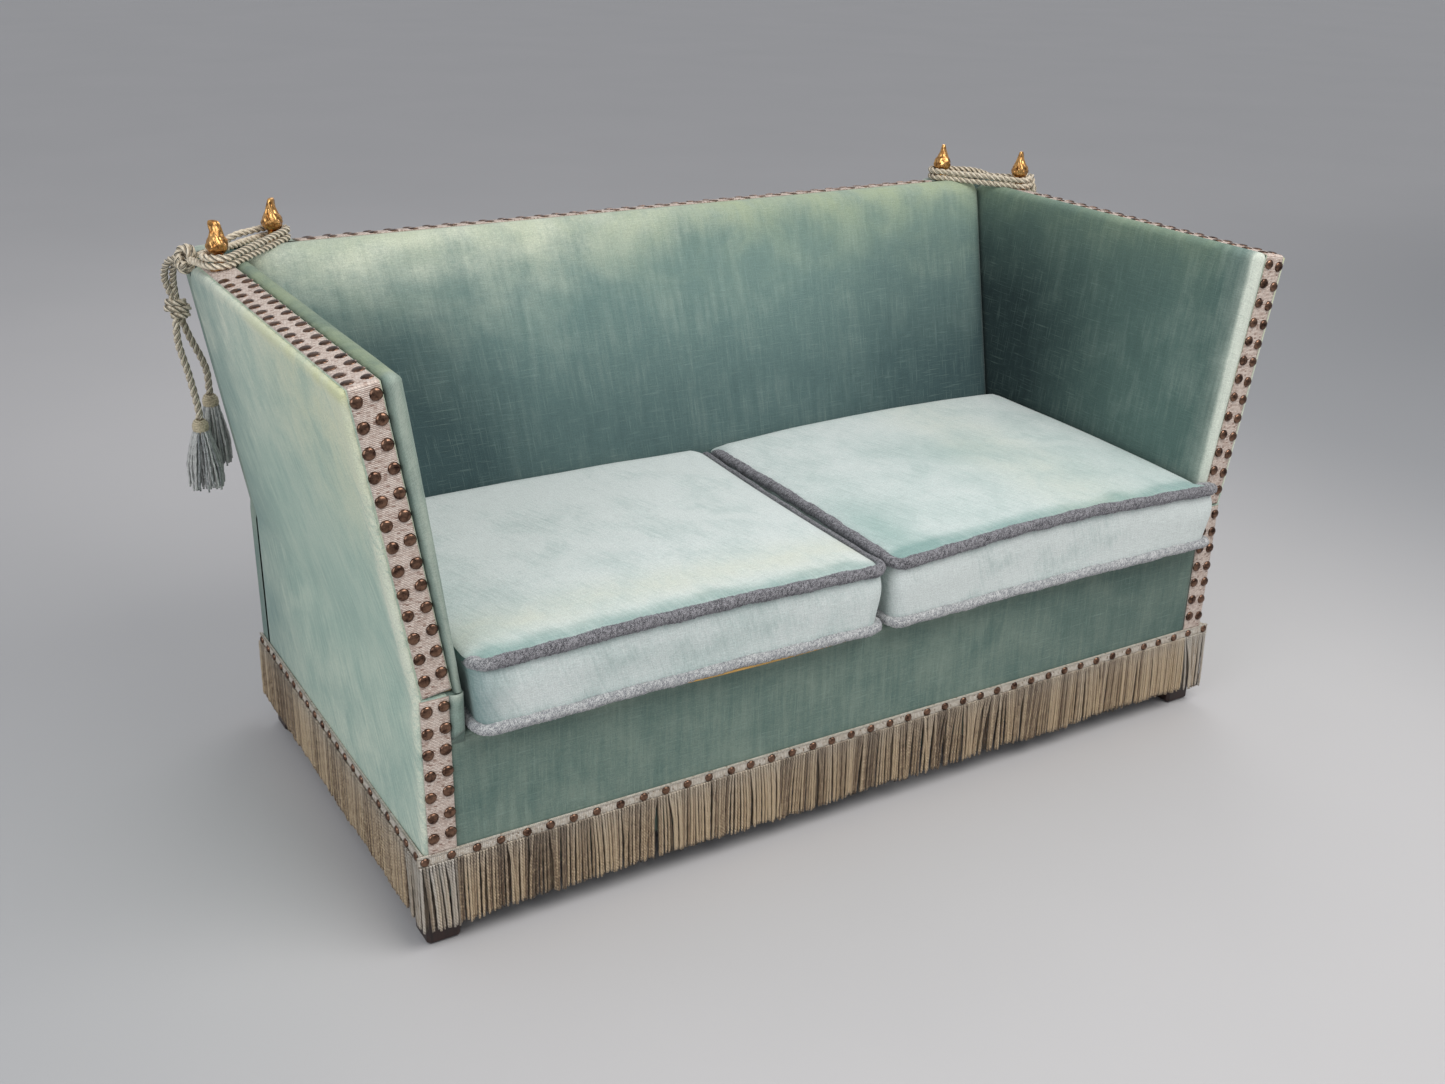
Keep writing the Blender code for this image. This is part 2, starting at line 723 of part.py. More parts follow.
def nails_mesh(name, spots, sink):
    """Domed nail heads, as stubby cones with their feet sunk into the braid, standing along +Z."""
    shape = bmesh.new()
    for spot, turn in spots:
        made = bmesh.ops.create_cone(shape, cap_ends=True, segments=nail_sides, radius1=nail_radius,
                                     radius2=nail_radius * nail_top_share, depth=nail_height + sink)
        bmesh.ops.translate(shape, vec=(0, 0, (nail_height - sink) / 2), verts=made["verts"])
        bmesh.ops.transform(shape, matrix=Matrix.Translation(spot) @ turn, verts=made["verts"])
    return mesh_from(shape, name)


facing_front = Matrix.Rotation(math.radians(90), 4, "X")
facing_up = Matrix.Identity(4)


def rows_of_nails(count, pitch, start, rows, make_spot, turn):
    return [(make_spot(row, start + pitch * index), turn) for index in range(count) for row in rows]


def build_arm_braid(side, sign, pivot, lean):
    """One strip up the front and back along the top, with two rows of nails."""
    name = side + "_arm_braid"
    low = gap
    foot = -overrun
    outer = [(-low - braid_thickness, foot, 0), (-low - braid_thickness, arm_height + low + braid_thickness,
                                                 small_edge),
             (arm_braid_end, arm_height + low + braid_thickness, 0), (arm_braid_end, arm_height + low, 0),
             (-low, arm_height + low, 0), (-low, foot, 0)]
    strip = inward(sign, braid_outer_inset, braid_outer_inset + braid_width)
    braid = place(name, prism_mesh(name, rounded_outline(outer, 2), "YZ", *strip), "braid", pivot, lean)
    rows = [strip[0] + nail_row_inset, strip[1] - nail_row_inset]
    front_level = -low - braid_thickness
    top_level = arm_height + low + braid_thickness
    front_count = int(arm_height / nail_pitch)
    front_start = arm_height - nail_pitch / 2 - (front_count - 1) * nail_pitch
    spots = rows_of_nails(front_count, nail_pitch, front_start, rows,
                          lambda row, along: Vector((row, front_level, along)), facing_front)
    top_count = int((arm_finial_depth - 2 * nail_pitch) / nail_pitch) + 1
    spots += rows_of_nails(top_count, nail_pitch, nail_pitch / 2, rows,
                           lambda row, along: Vector((row, along, top_level)), facing_up)
    nails = place_cutter(name + "_nails", nails_mesh(name, spots, braid_thickness / 2), pivot, lean)
    combine(braid, nails, "UNION")
    level_foot(braid, side, crease_height + crease_slit / 2)
    return braid


def build_side_braid(side, sign):
    """The short strip with nails on the front of the fixed side."""
    name = side + "_side_braid"
    strip = across(sign, half_width - side_braid_inset - braid_width, half_width - side_braid_inset)
    levels = (fringe_top + gap, side_top)
    depth = (-gap - braid_thickness, -gap)
    braid = place(name, box_mesh(name, strip, depth, levels), "braid")
    rows = [strip[0] + nail_row_inset, strip[1] - nail_row_inset]
    count = int((levels[1] - levels[0]) / nail_pitch)
    start = levels[1] - nail_pitch / 2 - (count - 1) * nail_pitch
    spots = rows_of_nails(count, nail_pitch, start, rows,
                          lambda row, along: Vector((row, depth[0], along)), facing_front)
    nails = place_cutter(name + "_nails", nails_mesh(name, spots, braid_thickness / 2))
    combine(braid, nails, "UNION")


# Finials

def finial_profile(neck, stud):
    """From the tip down: a teardrop bulb, a neck, a foot and a screw stud."""
    bulb_foot = finial_foot_height + neck
    bulb_shares = [(0.0, 1.0), (0.14, 0.985), (0.20, 0.90), (0.33, 0.74), (0.56, 0.56), (0.82, 0.41),
                   (0.98, 0.28), (0.97, 0.18), (0.80, 0.07), (0.55, 0.0)]
    profile = [(finial_bulb_radius * wide, bulb_foot + finial_bulb_height * up) for wide, up in bulb_shares]
    profile += [(finial_neck_radius, bulb_foot - neck / 5), (finial_neck_radius, finial_foot_height + neck / 5),
                (finial_foot_radius * 0.8, finial_foot_height), (finial_foot_radius, finial_foot_height / 2),
                (finial_foot_radius, -stud[0]), (finial_stud_radius, -stud[0]), (finial_stud_radius, -stud[1]),
                (0.0, -stud[1])]
    return profile


def build_arm_finial(side, sign, bored):
    """An upright finial on a leaning arm: its foot is cut to the slope of the braid."""
    braid_middle = braid_outer_inset + braid_width / 2
    rise = arm_height + gap + braid_thickness
    inset = pivot_inset - braid_middle
    x = sign * (inset * math.cos(arm_lean) + rise * math.sin(arm_lean))
    z = rise * math.cos(arm_lean) - inset * math.sin(arm_lean)
    pivot = arm_pivots[side]
    name = side + "_arm_finial"
    slope_drop = finial_foot_radius * flare
    finial = turned(name, finial_profile(arm_finial_neck, (slope_drop, finial_stud_length)), "brass", pivot,
                    (x, arm_finial_depth, z + gap))
    seat_name = name + "_seat"
    wide = finial_foot_radius + overrun
    seat = box_mesh(seat_name, (-wide, wide), (-wide, wide), (-overrun, 0))
    seat_cut = place_cutter(seat_name, seat, pivot, sign * arm_lean)
    seat_cut.location = (x, arm_finial_depth, z + gap)
    stud_hole = place_cutter(name + "_seat_hole", rod_mesh(name, finial_stud_radius, -2 * overrun, 3 * overrun,
                                                           "Z", turned_steps), pivot)
    stud_hole.location = seat_cut.location
    combine(seat_cut, stud_hole)
    combine(finial, seat_cut)
    bore_name = name + "_bore"
    bore = place_cutter(bore_name, rod_mesh(bore_name, finial_stud_radius + stud_gap, -finial_stud_length - stud_gap,
                                            finial_stud_length + overrun, "Z", turned_steps), pivot)
    bore.location = (x, arm_finial_depth, z)
    for piece in bored:
        combine(piece, bore)


def build_back_finial(side, sign, bored):
    name = side + "_back_finial"
    place_of = (sign * back_finial_x, back_finial_depth, back_height + gap)
    turned(name, finial_profile(back_finial_neck, (0, finial_stud_length)), "brass", sofa, place_of)
    bore_name = name + "_bore"
    bore = place_cutter(bore_name, rod_mesh(bore_name, finial_stud_radius + stud_gap, -finial_stud_length - stud_gap,
                                            finial_stud_length + overrun, "Z", turned_steps))
    bore.location = place_of
    for piece in bored:
        combine(piece, bore)


# Back

def pad_front(height):
    """Depth of the back pad's front face at a height."""
    if height <= back_pad_seat_height:
        share = (height - deck_height) / (back_pad_seat_height - deck_height)
        return back_pad_front_foot + (back_pad_front_seat - back_pad_front_foot) * max(0.0, share)
    share = (height - back_pad_seat_height) / (back_height - back_pad_seat_height)
    return back_pad_front_seat + (back_pad_front_top - back_pad_front_seat) * share


def pad_half_width(height):
    """Half the back pad's width at a height, clear of the arms' inner faces."""
    slope = ((arm_thickness_top - arm_thickness_foot) / arm_height)
    rise = max(0.0, height - crease_height)
    return inner_half_width - pad_clearance + rise * (flare - slope)


def pad_ring(height, inset, corner):
    """A level ring of the back pad: straight behind, crowned in front, with rounded corners."""
    half = pad_half_width(height) - inset
    front = pad_front(height) + inset
    rear = back_pad_rear
    rise = max(0.0, (height - back_pad_seat_height) / (back_height - back_pad_seat_height))
    fullness = back_pad_crown * math.sin(math.pi * rise)
    columns = 8
    points = []
    for step in range(columns + 1):
        x = -half + corner + (2 * half - 2 * corner) * step / columns
        crown = fullness * (1 - (x / half) ** 2)
        points.append((x, front - crown, height))
    steps = 3
    for step in range(1, steps + 1):
        angle = math.radians(90) * step / steps
        points.append((half - corner + corner * math.sin(angle), front + corner - corner * math.cos(angle), height))
    points += [(half, rear, height), (-half, rear, height)]
    for step in range(steps):
        angle = math.radians(90) * (1 - step / steps)
        points.append((-half + corner - corner * math.sin(angle), front + corner - corner * math.cos(angle), height))
    return points


def build_back_pad():
    foot = rail_top + strap_thickness + 3 * gap
    levels = [foot, deck_height, back_pad_seat_height]
    body_top = back_height - back_pad_corner
    body_steps = 3
    for step in range(1, body_steps + 1):
        levels.append(back_pad_seat_height + (body_top - back_pad_seat_height) * step / body_steps)
    rings = [pad_ring(height, 0.0, back_pad_top_round) for height in levels]
    round_steps = 4
    for step in range(1, round_steps + 1):
        angle = math.radians(90) * step / round_steps
        height = body_top + back_pad_corner * math.sin(angle)
        inset = back_pad_top_round * (1 - math.cos(angle))
        rings.append(pad_ring(height, inset, back_pad_top_round))
    smooth(place("back_pad", loft_mesh("back_pad", rings), "velvet_teal"), 50)


def build_back():
    top_half = half_width - back_side_inset + (back_height - crease_height) * flare
    bottom_half = half_width - back_side_inset
    outline = [(-half_width, base_bottom, 0), (half_width, base_bottom, 0),
               (half_width, side_top, 0), (bottom_half, side_top, 0), (top_half, back_height, cover_corner_radius),
               (-top_half, back_height, cover_corner_radius), (-bottom_half, side_top, 0), (-half_width, side_top, 0)]
    cover = place("back_cover", prism_mesh("back_cover", rounded_outline(outline), "XZ", -base_depth, -cover_front),
                  "velvet_teal")
    bevel(cover, small_edge, 2)
    hollow_x = (-post_outer - gap, post_outer + gap)
    hollow_top = back_height - post_cover + gap
    hollow = place_cutter("back_hollow", box_mesh("back_hollow", hollow_x, (cover_front - overrun, post_rear + gap),
                                                  (base_bottom - overrun, hollow_top)))
    combine(cover, hollow)
    post_top = back_height - post_cover
    bored = {}
    for side, sign in sides.items():
        post = place(side + "_back_post", box_mesh(side, across(sign, post_inner, post_outer),
                                                   (post_front, post_rear), (base_bottom, post_top)), "timber")
        bevel(post, timber_edge, 1)
        bored[side] = (cover, post)
    rail_x = (-post_inner + gap, post_inner - gap)
    bevel(place("back_top_rail", box_mesh("back_top_rail", rail_x, (post_front, post_rear),
                                          (post_top - top_rail_height, post_top)), "timber"), timber_edge, 1)
    strap_x = (-post_outer + strap_width / 4, post_outer - strap_width / 4)
    strap_z = (rail_top + strap_width, post_top - strap_width / 4)
    strap_level = back_pad_rear + gap + strap_thickness / 2
    strap_net("back_webbing", strap_edges(*strap_x, back_upright_strap_count, strap_width),
              strap_edges(*strap_z, back_strap_count, strap_width), True, strap_level)
    build_back_pad()
    for side, sign in sides.items():
        build_back_finial(side, sign, bored[side])
    braid_y = (back_braid_front, back_braid_front + braid_width)
    bevel(place("back_braid", box_mesh("back_braid", (-back_braid_half, back_braid_half), braid_y,
                                       (back_height + gap, braid_top)), "braid"), small_edge / 2, 1)


# Fringe

def build_fringe(name, start, end, along_x, stand, sign=1):
    """A heading with a ribbed skirt of bullions below it, along the front or a side."""
    count = max(2, round((end - start) / skirt_pitch))
    pitch = (end - start) / count
    outer = stand + sign * skirt_thickness
    groove = outer - sign * skirt_groove
    inner = stand + sign * skirt_stand_off
    outline = [(start, inner)]
    for index in range(count):
        left = start + pitch * index
        outline += [(left, groove), (left + pitch / 4, outer), (left + pitch * 3 / 4, outer)]
    outline += [(end, groove), (end, inner)]
    if not along_x:
        outline = [(depth, place_along) for place_along, depth in outline]
    skirt = place(name, prism_mesh(name, outline, "XY", fringe_bottom, fringe_top - fringe_heading + heading_overlap),
                  "fringe")
    heading_depth = sorted((stand, stand + sign * heading_thickness))
    heading_along = (start + small_edge, end - small_edge)
    spans = (heading_along, heading_depth) if along_x else (heading_depth, heading_along)
    heading = place_cutter(name + "_heading", box_mesh(name, *spans, (fringe_top - fringe_heading, fringe_top)))
    combine(skirt, heading, "UNION")


def build_fringes():
    reach = half_width + gap + skirt_thickness
    build_fringe("front_fringe", -reach, reach, True, -gap, -1)
    for side, sign in sides.items():
        build_fringe(side + "_fringe", gap, base_depth - gap, False, sign * (half_width + gap), sign)


# Cushions

def cushion_ring(middle, half_x, half_y, offset, height, share):
    """A ring of a box cushion, its sides drawn in between the corners."""
    a = half_x + offset
    b = half_y + offset
    side_steps = 6
    corner_steps = 4
    points = []
    corners = [(1, -1), (1, 1), (-1, 1), (-1, -1)]
    for index, (sx, sy) in enumerate(corners):
        centre = Vector((sx * (a - cushion_corner), sy * (b - cushion_corner)))
        start_angle = math.radians(-90 + 90 * index)
        for step in range(corner_steps + 1):
            angle = start_angle + math.radians(90) * step / corner_steps
            points.append(centre + Vector((math.cos(angle), math.sin(angle))) * cushion_corner)
        following = corners[(index + 1) % 4]
        start = points[-1].copy()
        end_centre = Vector((following[0] * (a - cushion_corner), following[1] * (b - cushion_corner)))
        end_angle = start_angle + math.radians(90)
        end = end_centre + Vector((math.cos(end_angle), math.sin(end_angle))) * cushion_corner
        normal = Vector((math.cos(end_angle), math.sin(end_angle)))
        for step in range(1, side_steps):
            along = step / side_steps
            points.append(start.lerp(end, along) - normal * cushion_draw_in * math.sin(math.pi * along))
    return [(middle[0] + spot.x * share, middle[1] + spot.y * share, height) for spot in points]


def build_cushion(side, sign):
    inner = cushion_split / 2
    middle = (sign * (inner + cushion_half_width) / 2, (cushion_front + cushion_rear) / 2)
    half_x = (cushion_half_width - inner) / 2
    half_y = (cushion_rear - cushion_front) / 2
    low = deck_height + cushion_rest
    high = low + cushion_side_height
    pipe = cushion_piping
    rows = [(-pipe * 1.4, low, 0.55), (-pipe * 1.4, low, 1), (-pipe * 0.4, low + pipe * 0.35, 1), (0, low + pipe, 1),
            (-pipe * 0.75, low + pipe * 2, 1), (-cushion_waist - pipe * 0.5, (low + high) / 2, 1),
            (-pipe * 0.75, high - pipe * 2, 1), (0, high - pipe, 1), (-pipe * 0.5, high, 1),
            (-pipe * 1.6, high - pipe * 0.3, 1)]
    rings = [cushion_ring(middle, half_x, half_y, offset, height, share) for offset, height, share in rows]
    edge = high - pipe * 0.3
    for share in (0.93, 0.82, 0.66, 0.46, 0.24):
        height = edge + cushion_crown * (1 - share ** 3)
        rings.append(cushion_ring(middle, half_x, half_y, -pipe * 1.6, height, share))
    smooth(place(side + "_seat_cushion", loft_mesh(side + "_seat_cushion", rings), "velvet_aqua"), 60)


# Ropes and tassels

def arm_finial_spot(sign):
    """Where an arm's finial stands, with X outwards."""
    inset = pivot_inset - braid_outer_inset - braid_width / 2
    rise = arm_height + gap + braid_thickness
    return pivot_x + inset * math.cos(arm_lean) + rise * math.sin(arm_lean), arm_finial_depth


def arc(centre, radius, start, end, count):
    return [(centre[0] + radius * math.cos(start + (end - start) * step / count),
             centre[1] + radius * math.sin(start + (end - start) * step / count)) for step in range(count + 1)]


def rope_winding(side, sign):
    """Two turns round both finials, from the knot and back to it, worked out in the plane x = -outwards."""
    arm_x, arm_y = arm_finial_spot(sign)
    arm_at = Vector((-arm_x, arm_y))
    back_at = Vector((-back_finial_x, back_finial_depth))
    knot = Vector((-upper_knots[side][0], upper_knots[side][1]))
    knot_height = upper_knots[side][2]
    run = back_at - arm_at
    heading = math.atan2(run.y, run.x)
    near = heading - math.radians(90)
    far = heading + math.radians(90)
    to_knot = knot - arm_at
    arrive = math.atan2(to_knot.y, to_knot.x) + math.acos(rope_turn_radius / to_knot.length)
    from_back = knot - back_at
    leave = math.atan2(from_back.y, from_back.x) - math.acos(rope_turn_radius / from_back.length)
    leave %= math.tau
    turn_count = rope_turn_points // 2 - 2
    run_count = 4
    last_run_count = 8
    settle_share = 0.35
    stages = []

    def add(points, low, high):
        for index, spot in enumerate(points):
            if stages and index == 0:
                continue
            stages.append((spot, low + (high - low) * index / (len(points) - 1)))

    def straight(start, end, count):
        return [tuple(Vector(start).lerp(Vector(end), step / count)) for step in range(count + 1)]

    first = arc(arm_at, rope_turn_radius, arrive, near + math.tau, turn_count)
    start_way = (Vector(first[0]) - knot).normalized()
    add(straight(knot + start_way * (knot_radius + gap), first[0], 2), 0, 0)
    add(first, 0, 0)
    back_turn = arc(back_at, rope_turn_radius, near, far, turn_count)
    add(straight(first[-1], back_turn[0], run_count), 0, 0)
    add(back_turn, 0, 0)
    second = arc(arm_at, rope_turn_radius, far, near + math.tau, turn_count)
    add(straight(back_turn[-1], second[0], run_count), 0, 1)
    add(second, 1, 1)
    last = arc(back_at, rope_turn_radius, near, leave, turn_count)
    add(straight(second[-1], last[0], run_count), 1, 1)
    add(last, 1, 1)
    end_way = (Vector(last[-1]) - knot).normalized()
    stages_before = len(stages)
    add(straight(last[-1], knot + end_way * (knot_radius + gap), last_run_count), 1, 1)

    points = []
    for index, (spot, level) in enumerate(stages):
        along = (Vector(spot) - arm_at).dot(run) / run.length_squared
        along = min(1.0, max(0.0, along))
        height = rope_arm_height + (rope_back_height - rope_arm_height) * along + rope_climb * level
        if index < 2:
            height += (knot_height - height) * (1 - index / 2)
        if index >= stages_before:
            share = max(0.0, (index - stages_before + 1) / last_run_count - settle_share) / (1 - settle_share)
            height += (knot_height - height) * share ** 2 * (3 - 2 * share)
        points.append(Vector((-sign * spot[0], spot[1], height)))
    return points


def length_of(points):
    return sum((after - before).length for before, after in zip(points, points[1:]))


def least_gap_to_itself(points, radius):
    """The least clear distance between stretches of a tube that aren't neighbours along it."""
    dense = []
    for before, after in zip(points, points[1:]):
        for step in range(4):
            dense.append(before.lerp(after, step / 4))
    travelled = [0.0]
    for before, after in zip(dense, dense[1:]):
        travelled.append(travelled[-1] + (after - before).length)
    least = math.inf
    for first in range(len(dense)):
        for second in range(first + 1, len(dense)):
            if travelled[second] - travelled[first] > 3 * math.pi * radius:
                least = min(least, (dense[second] - dense[first]).length - 2 * radius)
    return least


def ball_mesh(name, radius, middle, stretch=(1, 1, 1)):
    shape = bmesh.new()
    bmesh.ops.create_uvsphere(shape, u_segments=12, v_segments=7, radius=radius)
    bmesh.ops.scale(shape, vec=stretch, verts=shape.verts)
    bmesh.ops.translate(shape, vec=middle, verts=shape.verts)
    return mesh_from(shape, name)


def tassel_profile():
    """From the top down: a wrapped head, a tied neck and a flared skirt."""
    head = tassel_head_radius
    skirt = tassel_length - 2 * head
    return [(0.0, 0.0), (head * 0.62, -head * 0.18), (head, -head * 0.9), (head * 0.9, -head * 1.6),
            (tassel_neck_radius, -head * 2), (tassel_skirt_radius * 0.82, -head * 2 - skirt * 0.16),
            (tassel_skirt_radius * 0.92, -head * 2 - skirt * 0.55), (tassel_skirt_radius, -tassel_length),
            (0.0, -tassel_length)]


def leave_knot(centre, radius, toward):
    """Two places on the straight way out of a knot, the first of them at its surface."""
    way = (toward - centre).normalized()
    return [centre + way * (radius + gap), centre + way * (radius + gap + 2 * rope_radius)]


def build_rope(side, sign):
    """A rope wound on the finials, its knots, its two hanging ends and their tassels."""
    winding = rope_winding(side, sign)
    print(side, "rope winding", round(length_of(winding), 4), "m, least gap to itself",
          round(least_gap_to_itself(winding, rope_radius) / 0.001, 2), "mm")
    tube(side + "_rope_winding", winding, rope_radius, "rope", sofa, 1)

    upper = on_side(sign, upper_knots[side])
    lower = on_side(sign, lower_knots[side])
    knot = place(side + "_upper_knot", ball_mesh(side, knot_radius, upper), "rope")
    fall = lower - upper
    spread = fall.cross(Vector((sign, 0, 0))).cross(fall).normalized() * strand_offset
    for index, shift in enumerate((spread, -spread)):
        name = side + "_strand_" + str(index)
        route = [upper + shift] + [on_side(sign, spot) + shift for spot in strand_routes[side]]
        route += reversed(leave_knot(lower, lower_knot_radius, route[-1]))
        strand = tube_mesh(name, smooth_route(route, 2 * rope_radius), rope_radius, 1)
        combine(knot, place_cutter(name, strand), "UNION")
    place(side + "_lower_knot", ball_mesh(side, lower_knot_radius, lower), "rope")
    for end, tail in tail_routes[side].items():
        route = [on_side(sign, spot) for spot in tail]
        bottom = route[-1]
        route = leave_knot(lower, lower_knot_radius, route[0]) + route
        route.insert(-1, bottom + Vector((0, 0, 2 * rope_radius)))
        tube(side + "_" + end + "_tail", smooth_route(route, 4 * rope_radius), tail_radius, "rope", sofa)
        turned(side + "_" + end + "_tassel", tassel_profile(), "tassel", sofa,
               (bottom.x, bottom.y, bottom.z - gap), 12)


foot_middle_x = half_width - foot_outer_inset - foot_bottom_width / 2
foot_rows = {"front": foot_front_inset + foot_bottom_width / 2,
             "rear": cover_front - foot_front_inset - foot_bottom_width / 2}
grooves = {side: place_cutter(side + "_crease_groove", rod_mesh(side, groove_radius, -overrun,
                                                                base_depth + 2 * overrun, "Y", 20),
                              arm_pivots[side]) for side in sides}
windows = {side: place_cutter(side + "_hinge_window", box_mesh(
    side, sorted((0, -sign * leaf_width)), (hinge_start - 2 * gap, hinge_start + hinge_length + 2 * gap),
    (-leaf_window, leaf_window)), arm_pivots[side]) for side, sign in sides.items()}

build_seat()
for side_name, side_sign in sides.items():
    build_fixed_side(side_name, side_sign)
    build_side_braid(side_name, side_sign)
    build_hinge(side_name, side_sign)
    build_arm(side_name, side_sign)
    build_cushion(side_name, side_sign)
    build_rope(side_name, side_sign)
    for row_name in foot_rows:
        build_foot(side_name, side_sign, row_name)
build_back()
build_fringes()
bpy.context.view_layer.update()
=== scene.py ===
"""Looks of the knole sofa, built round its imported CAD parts.

Lengths are in metres. Depths are measured backwards from the plane of the arm fronts, as in the CAD
source, and inward distances from the outer face of an arm or of the side below it.
"""

import math
import random

import bmesh
import bpy
import numpy as np
from mathutils import Matrix, Vector, noise


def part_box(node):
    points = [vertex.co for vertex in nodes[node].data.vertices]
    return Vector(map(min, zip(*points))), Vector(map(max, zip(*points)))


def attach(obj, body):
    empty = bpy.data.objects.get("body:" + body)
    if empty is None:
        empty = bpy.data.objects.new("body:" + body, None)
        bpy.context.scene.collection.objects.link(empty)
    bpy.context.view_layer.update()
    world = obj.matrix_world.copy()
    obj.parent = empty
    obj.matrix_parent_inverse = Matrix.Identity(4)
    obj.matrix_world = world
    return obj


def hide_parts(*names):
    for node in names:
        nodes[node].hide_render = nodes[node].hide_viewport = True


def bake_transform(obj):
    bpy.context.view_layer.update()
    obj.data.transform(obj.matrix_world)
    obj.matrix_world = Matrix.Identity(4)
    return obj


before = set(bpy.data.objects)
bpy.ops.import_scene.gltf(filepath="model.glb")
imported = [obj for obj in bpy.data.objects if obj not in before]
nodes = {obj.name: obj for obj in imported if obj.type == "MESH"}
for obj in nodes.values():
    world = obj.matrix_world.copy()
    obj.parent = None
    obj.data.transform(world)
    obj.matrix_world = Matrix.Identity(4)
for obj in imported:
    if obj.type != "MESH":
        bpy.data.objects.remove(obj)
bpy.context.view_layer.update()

# Values that the CAD source shares
gap = 0.0003
half_width = 0.8106
base_depth = 0.8425
base_bottom = 0.085
crease_height = 0.427
deck_height = 0.362
back_height = 0.914
arm_lean = math.radians(9.0)
arm_height = 0.473
arm_depth = 0.800
arm_thickness_foot = 0.0730
arm_thickness_top = 0.0885
arm_core = 0.0580
arm_corner = 0.055
inner_half_width = 0.7365
pivot_inset = 0.0020
pivot_x = half_width - pivot_inset
cover_front = 0.8035
back_braid_front = 0.794
pad_bend = 0.480
back_top_front = 0.9168
back_top_fall = 0.148
braid_width = 0.044
braid_thickness = 0.0030
braid_outer_inset = 0.0125
arm_braid_end = 0.742
side_braid_inset = 0.0076
nail_radius = 0.0094
nail_height = 0.0050
nail_pitch = 0.0355
nail_row_inset = 0.0084
fringe_top = 0.169
fringe_heading = 0.019
tail_radius = 0.0066
arm_finial_depth = 0.700
arm_finial_neck = 0.0200
back_finial_x = 0.729
back_finial_depth = 0.812
back_finial_neck = 0.0145
rope_radius = 0.00575
rope_turn_radius = 0.0235
rope_arm_height = 0.9112
rope_back_height = 0.9206
rope_climb = 0.0130
rope_turn_points = 24
knot_radius = 0.0180
lower_knot_radius = 0.0160
strand_offset = 0.0066
flare = math.tan(arm_lean)
front_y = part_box("left_side_cover")[0].y
sides = {"left": -1, "right": 1}

# Places of the ropes' knots, strands and ends, as x from the middle, depth and height
upper_knots = {"left": (0.8870, 0.7750, 0.9080), "right": (0.9220, 0.7450, 0.9000)}
lower_knots = {"left": (0.8950, 0.8450, 0.8080), "right": (0.9380, 0.7700, 0.7950)}
strand_routes = {
    "left": [(0.8985, 0.7925, 0.9040), (0.9060, 0.8120, 0.8900), (0.9060, 0.8330, 0.8600)],
    "right": [(0.9370, 0.7530, 0.8890), (0.9450, 0.7610, 0.8670), (0.9440, 0.7680, 0.8420)],
}
tail_routes = {
    "left": {
        "front": [(0.9030, 0.8344, 0.7789), (0.9020, 0.8370, 0.7450), (0.8905, 0.8410, 0.6900),
                  (0.8830, 0.8400, 0.6400), (0.8810, 0.8400, 0.6080)],
        "rear": [(0.8870, 0.8556, 0.7789), (0.8765, 0.8610, 0.7480), (0.8600, 0.8700, 0.7080),
                 (0.8520, 0.8750, 0.6800), (0.8510, 0.8760, 0.6400)],
    },
    "right": {
        "front": [(0.9428, 0.7577, 0.7659), (0.9440, 0.7490, 0.7350), (0.9440, 0.7440, 0.6900),
                  (0.9430, 0.7420, 0.6400), (0.9430, 0.7410, 0.6080)],
        "rear": [(0.9332, 0.7823, 0.7659), (0.9320, 0.7930, 0.7400), (0.9320, 0.8010, 0.7080),
                 (0.9320, 0.8050, 0.6800), (0.9320, 0.8060, 0.6400)],
    },
}


# Places

def at(x, depth, z):
    """A point in the row frame from its x, depth and height."""
    return Vector((x, depth + front_y, z))


def spots_at(x, depth, z):
    """Points as one array, from their x, depth and height."""
    return np.stack(np.broadcast_arrays(x, depth + front_y, z), axis=-1)


def arm_place(sign, inward, depth, up):
    """Points on a leaning arm, from distances inward, depths and heights up the arm."""
    out = pivot_inset - inward
    across = out * math.cos(arm_lean) + up * math.sin(arm_lean)
    rise = up * math.cos(arm_lean) - out * math.sin(arm_lean)
    return spots_at(sign * (pivot_x + across), depth, crease_height + rise)


def side_place(sign, inward, depth, z):
    """Points on the side below an arm, from distances inward, depths and heights."""
    return spots_at(sign * (half_width - inward), depth, z)


def smoothstep(low, high, value):
    share = np.clip((value - low) / (high - low), 0, 1)
    return share * share * (3 - 2 * share)


def hump(share):
    """0 at both ends of a range from 0 to 1, and 1 in its middle."""
    return np.sin(math.pi * np.clip(share, 0, 1))


def close_to(value, middle, reach):
    """1 where a value is at the middle, and falling off over the reach."""
    return np.exp(-((value - middle) / reach) ** 2)


def bends(steps):
    """The angles of a quarter turn, without its start."""
    return [math.radians(90) * step / steps for step in range(1, steps + 1)]


def shake(chance, size):
    return chance.uniform(-size, size)


# Camera, lights and floor

def build_camera():
    data = bpy.data.cameras.new("camera")
    data.sensor_fit = "HORIZONTAL"
    data.sensor_width = 36.0
    data.lens = 38.61
    data.clip_start = 0.05
    data.clip_end = 200
    camera = bpy.data.objects.new("camera", data)
    bpy.context.scene.collection.objects.link(camera)
    x, depth, height = -1.446, -1.8592, 1.5071
    yaw, pitch, roll = 0.5502, 0.4052, 0.0235
    forward = Vector((math.sin(yaw) * math.cos(pitch), math.cos(yaw) * math.cos(pitch), -math.sin(pitch)))
    level = Vector((math.cos(yaw), -math.sin(yaw), 0))
    upright = level.cross(forward)
    right = level * math.cos(roll) + upright * math.sin(roll)
    up = upright * math.cos(roll) - level * math.sin(roll)
    turn = Matrix((right, up, -forward)).transposed().to_4x4()
    camera.matrix_world = Matrix.Translation(at(x, depth, height)) @ turn
    bpy.context.scene.camera = camera


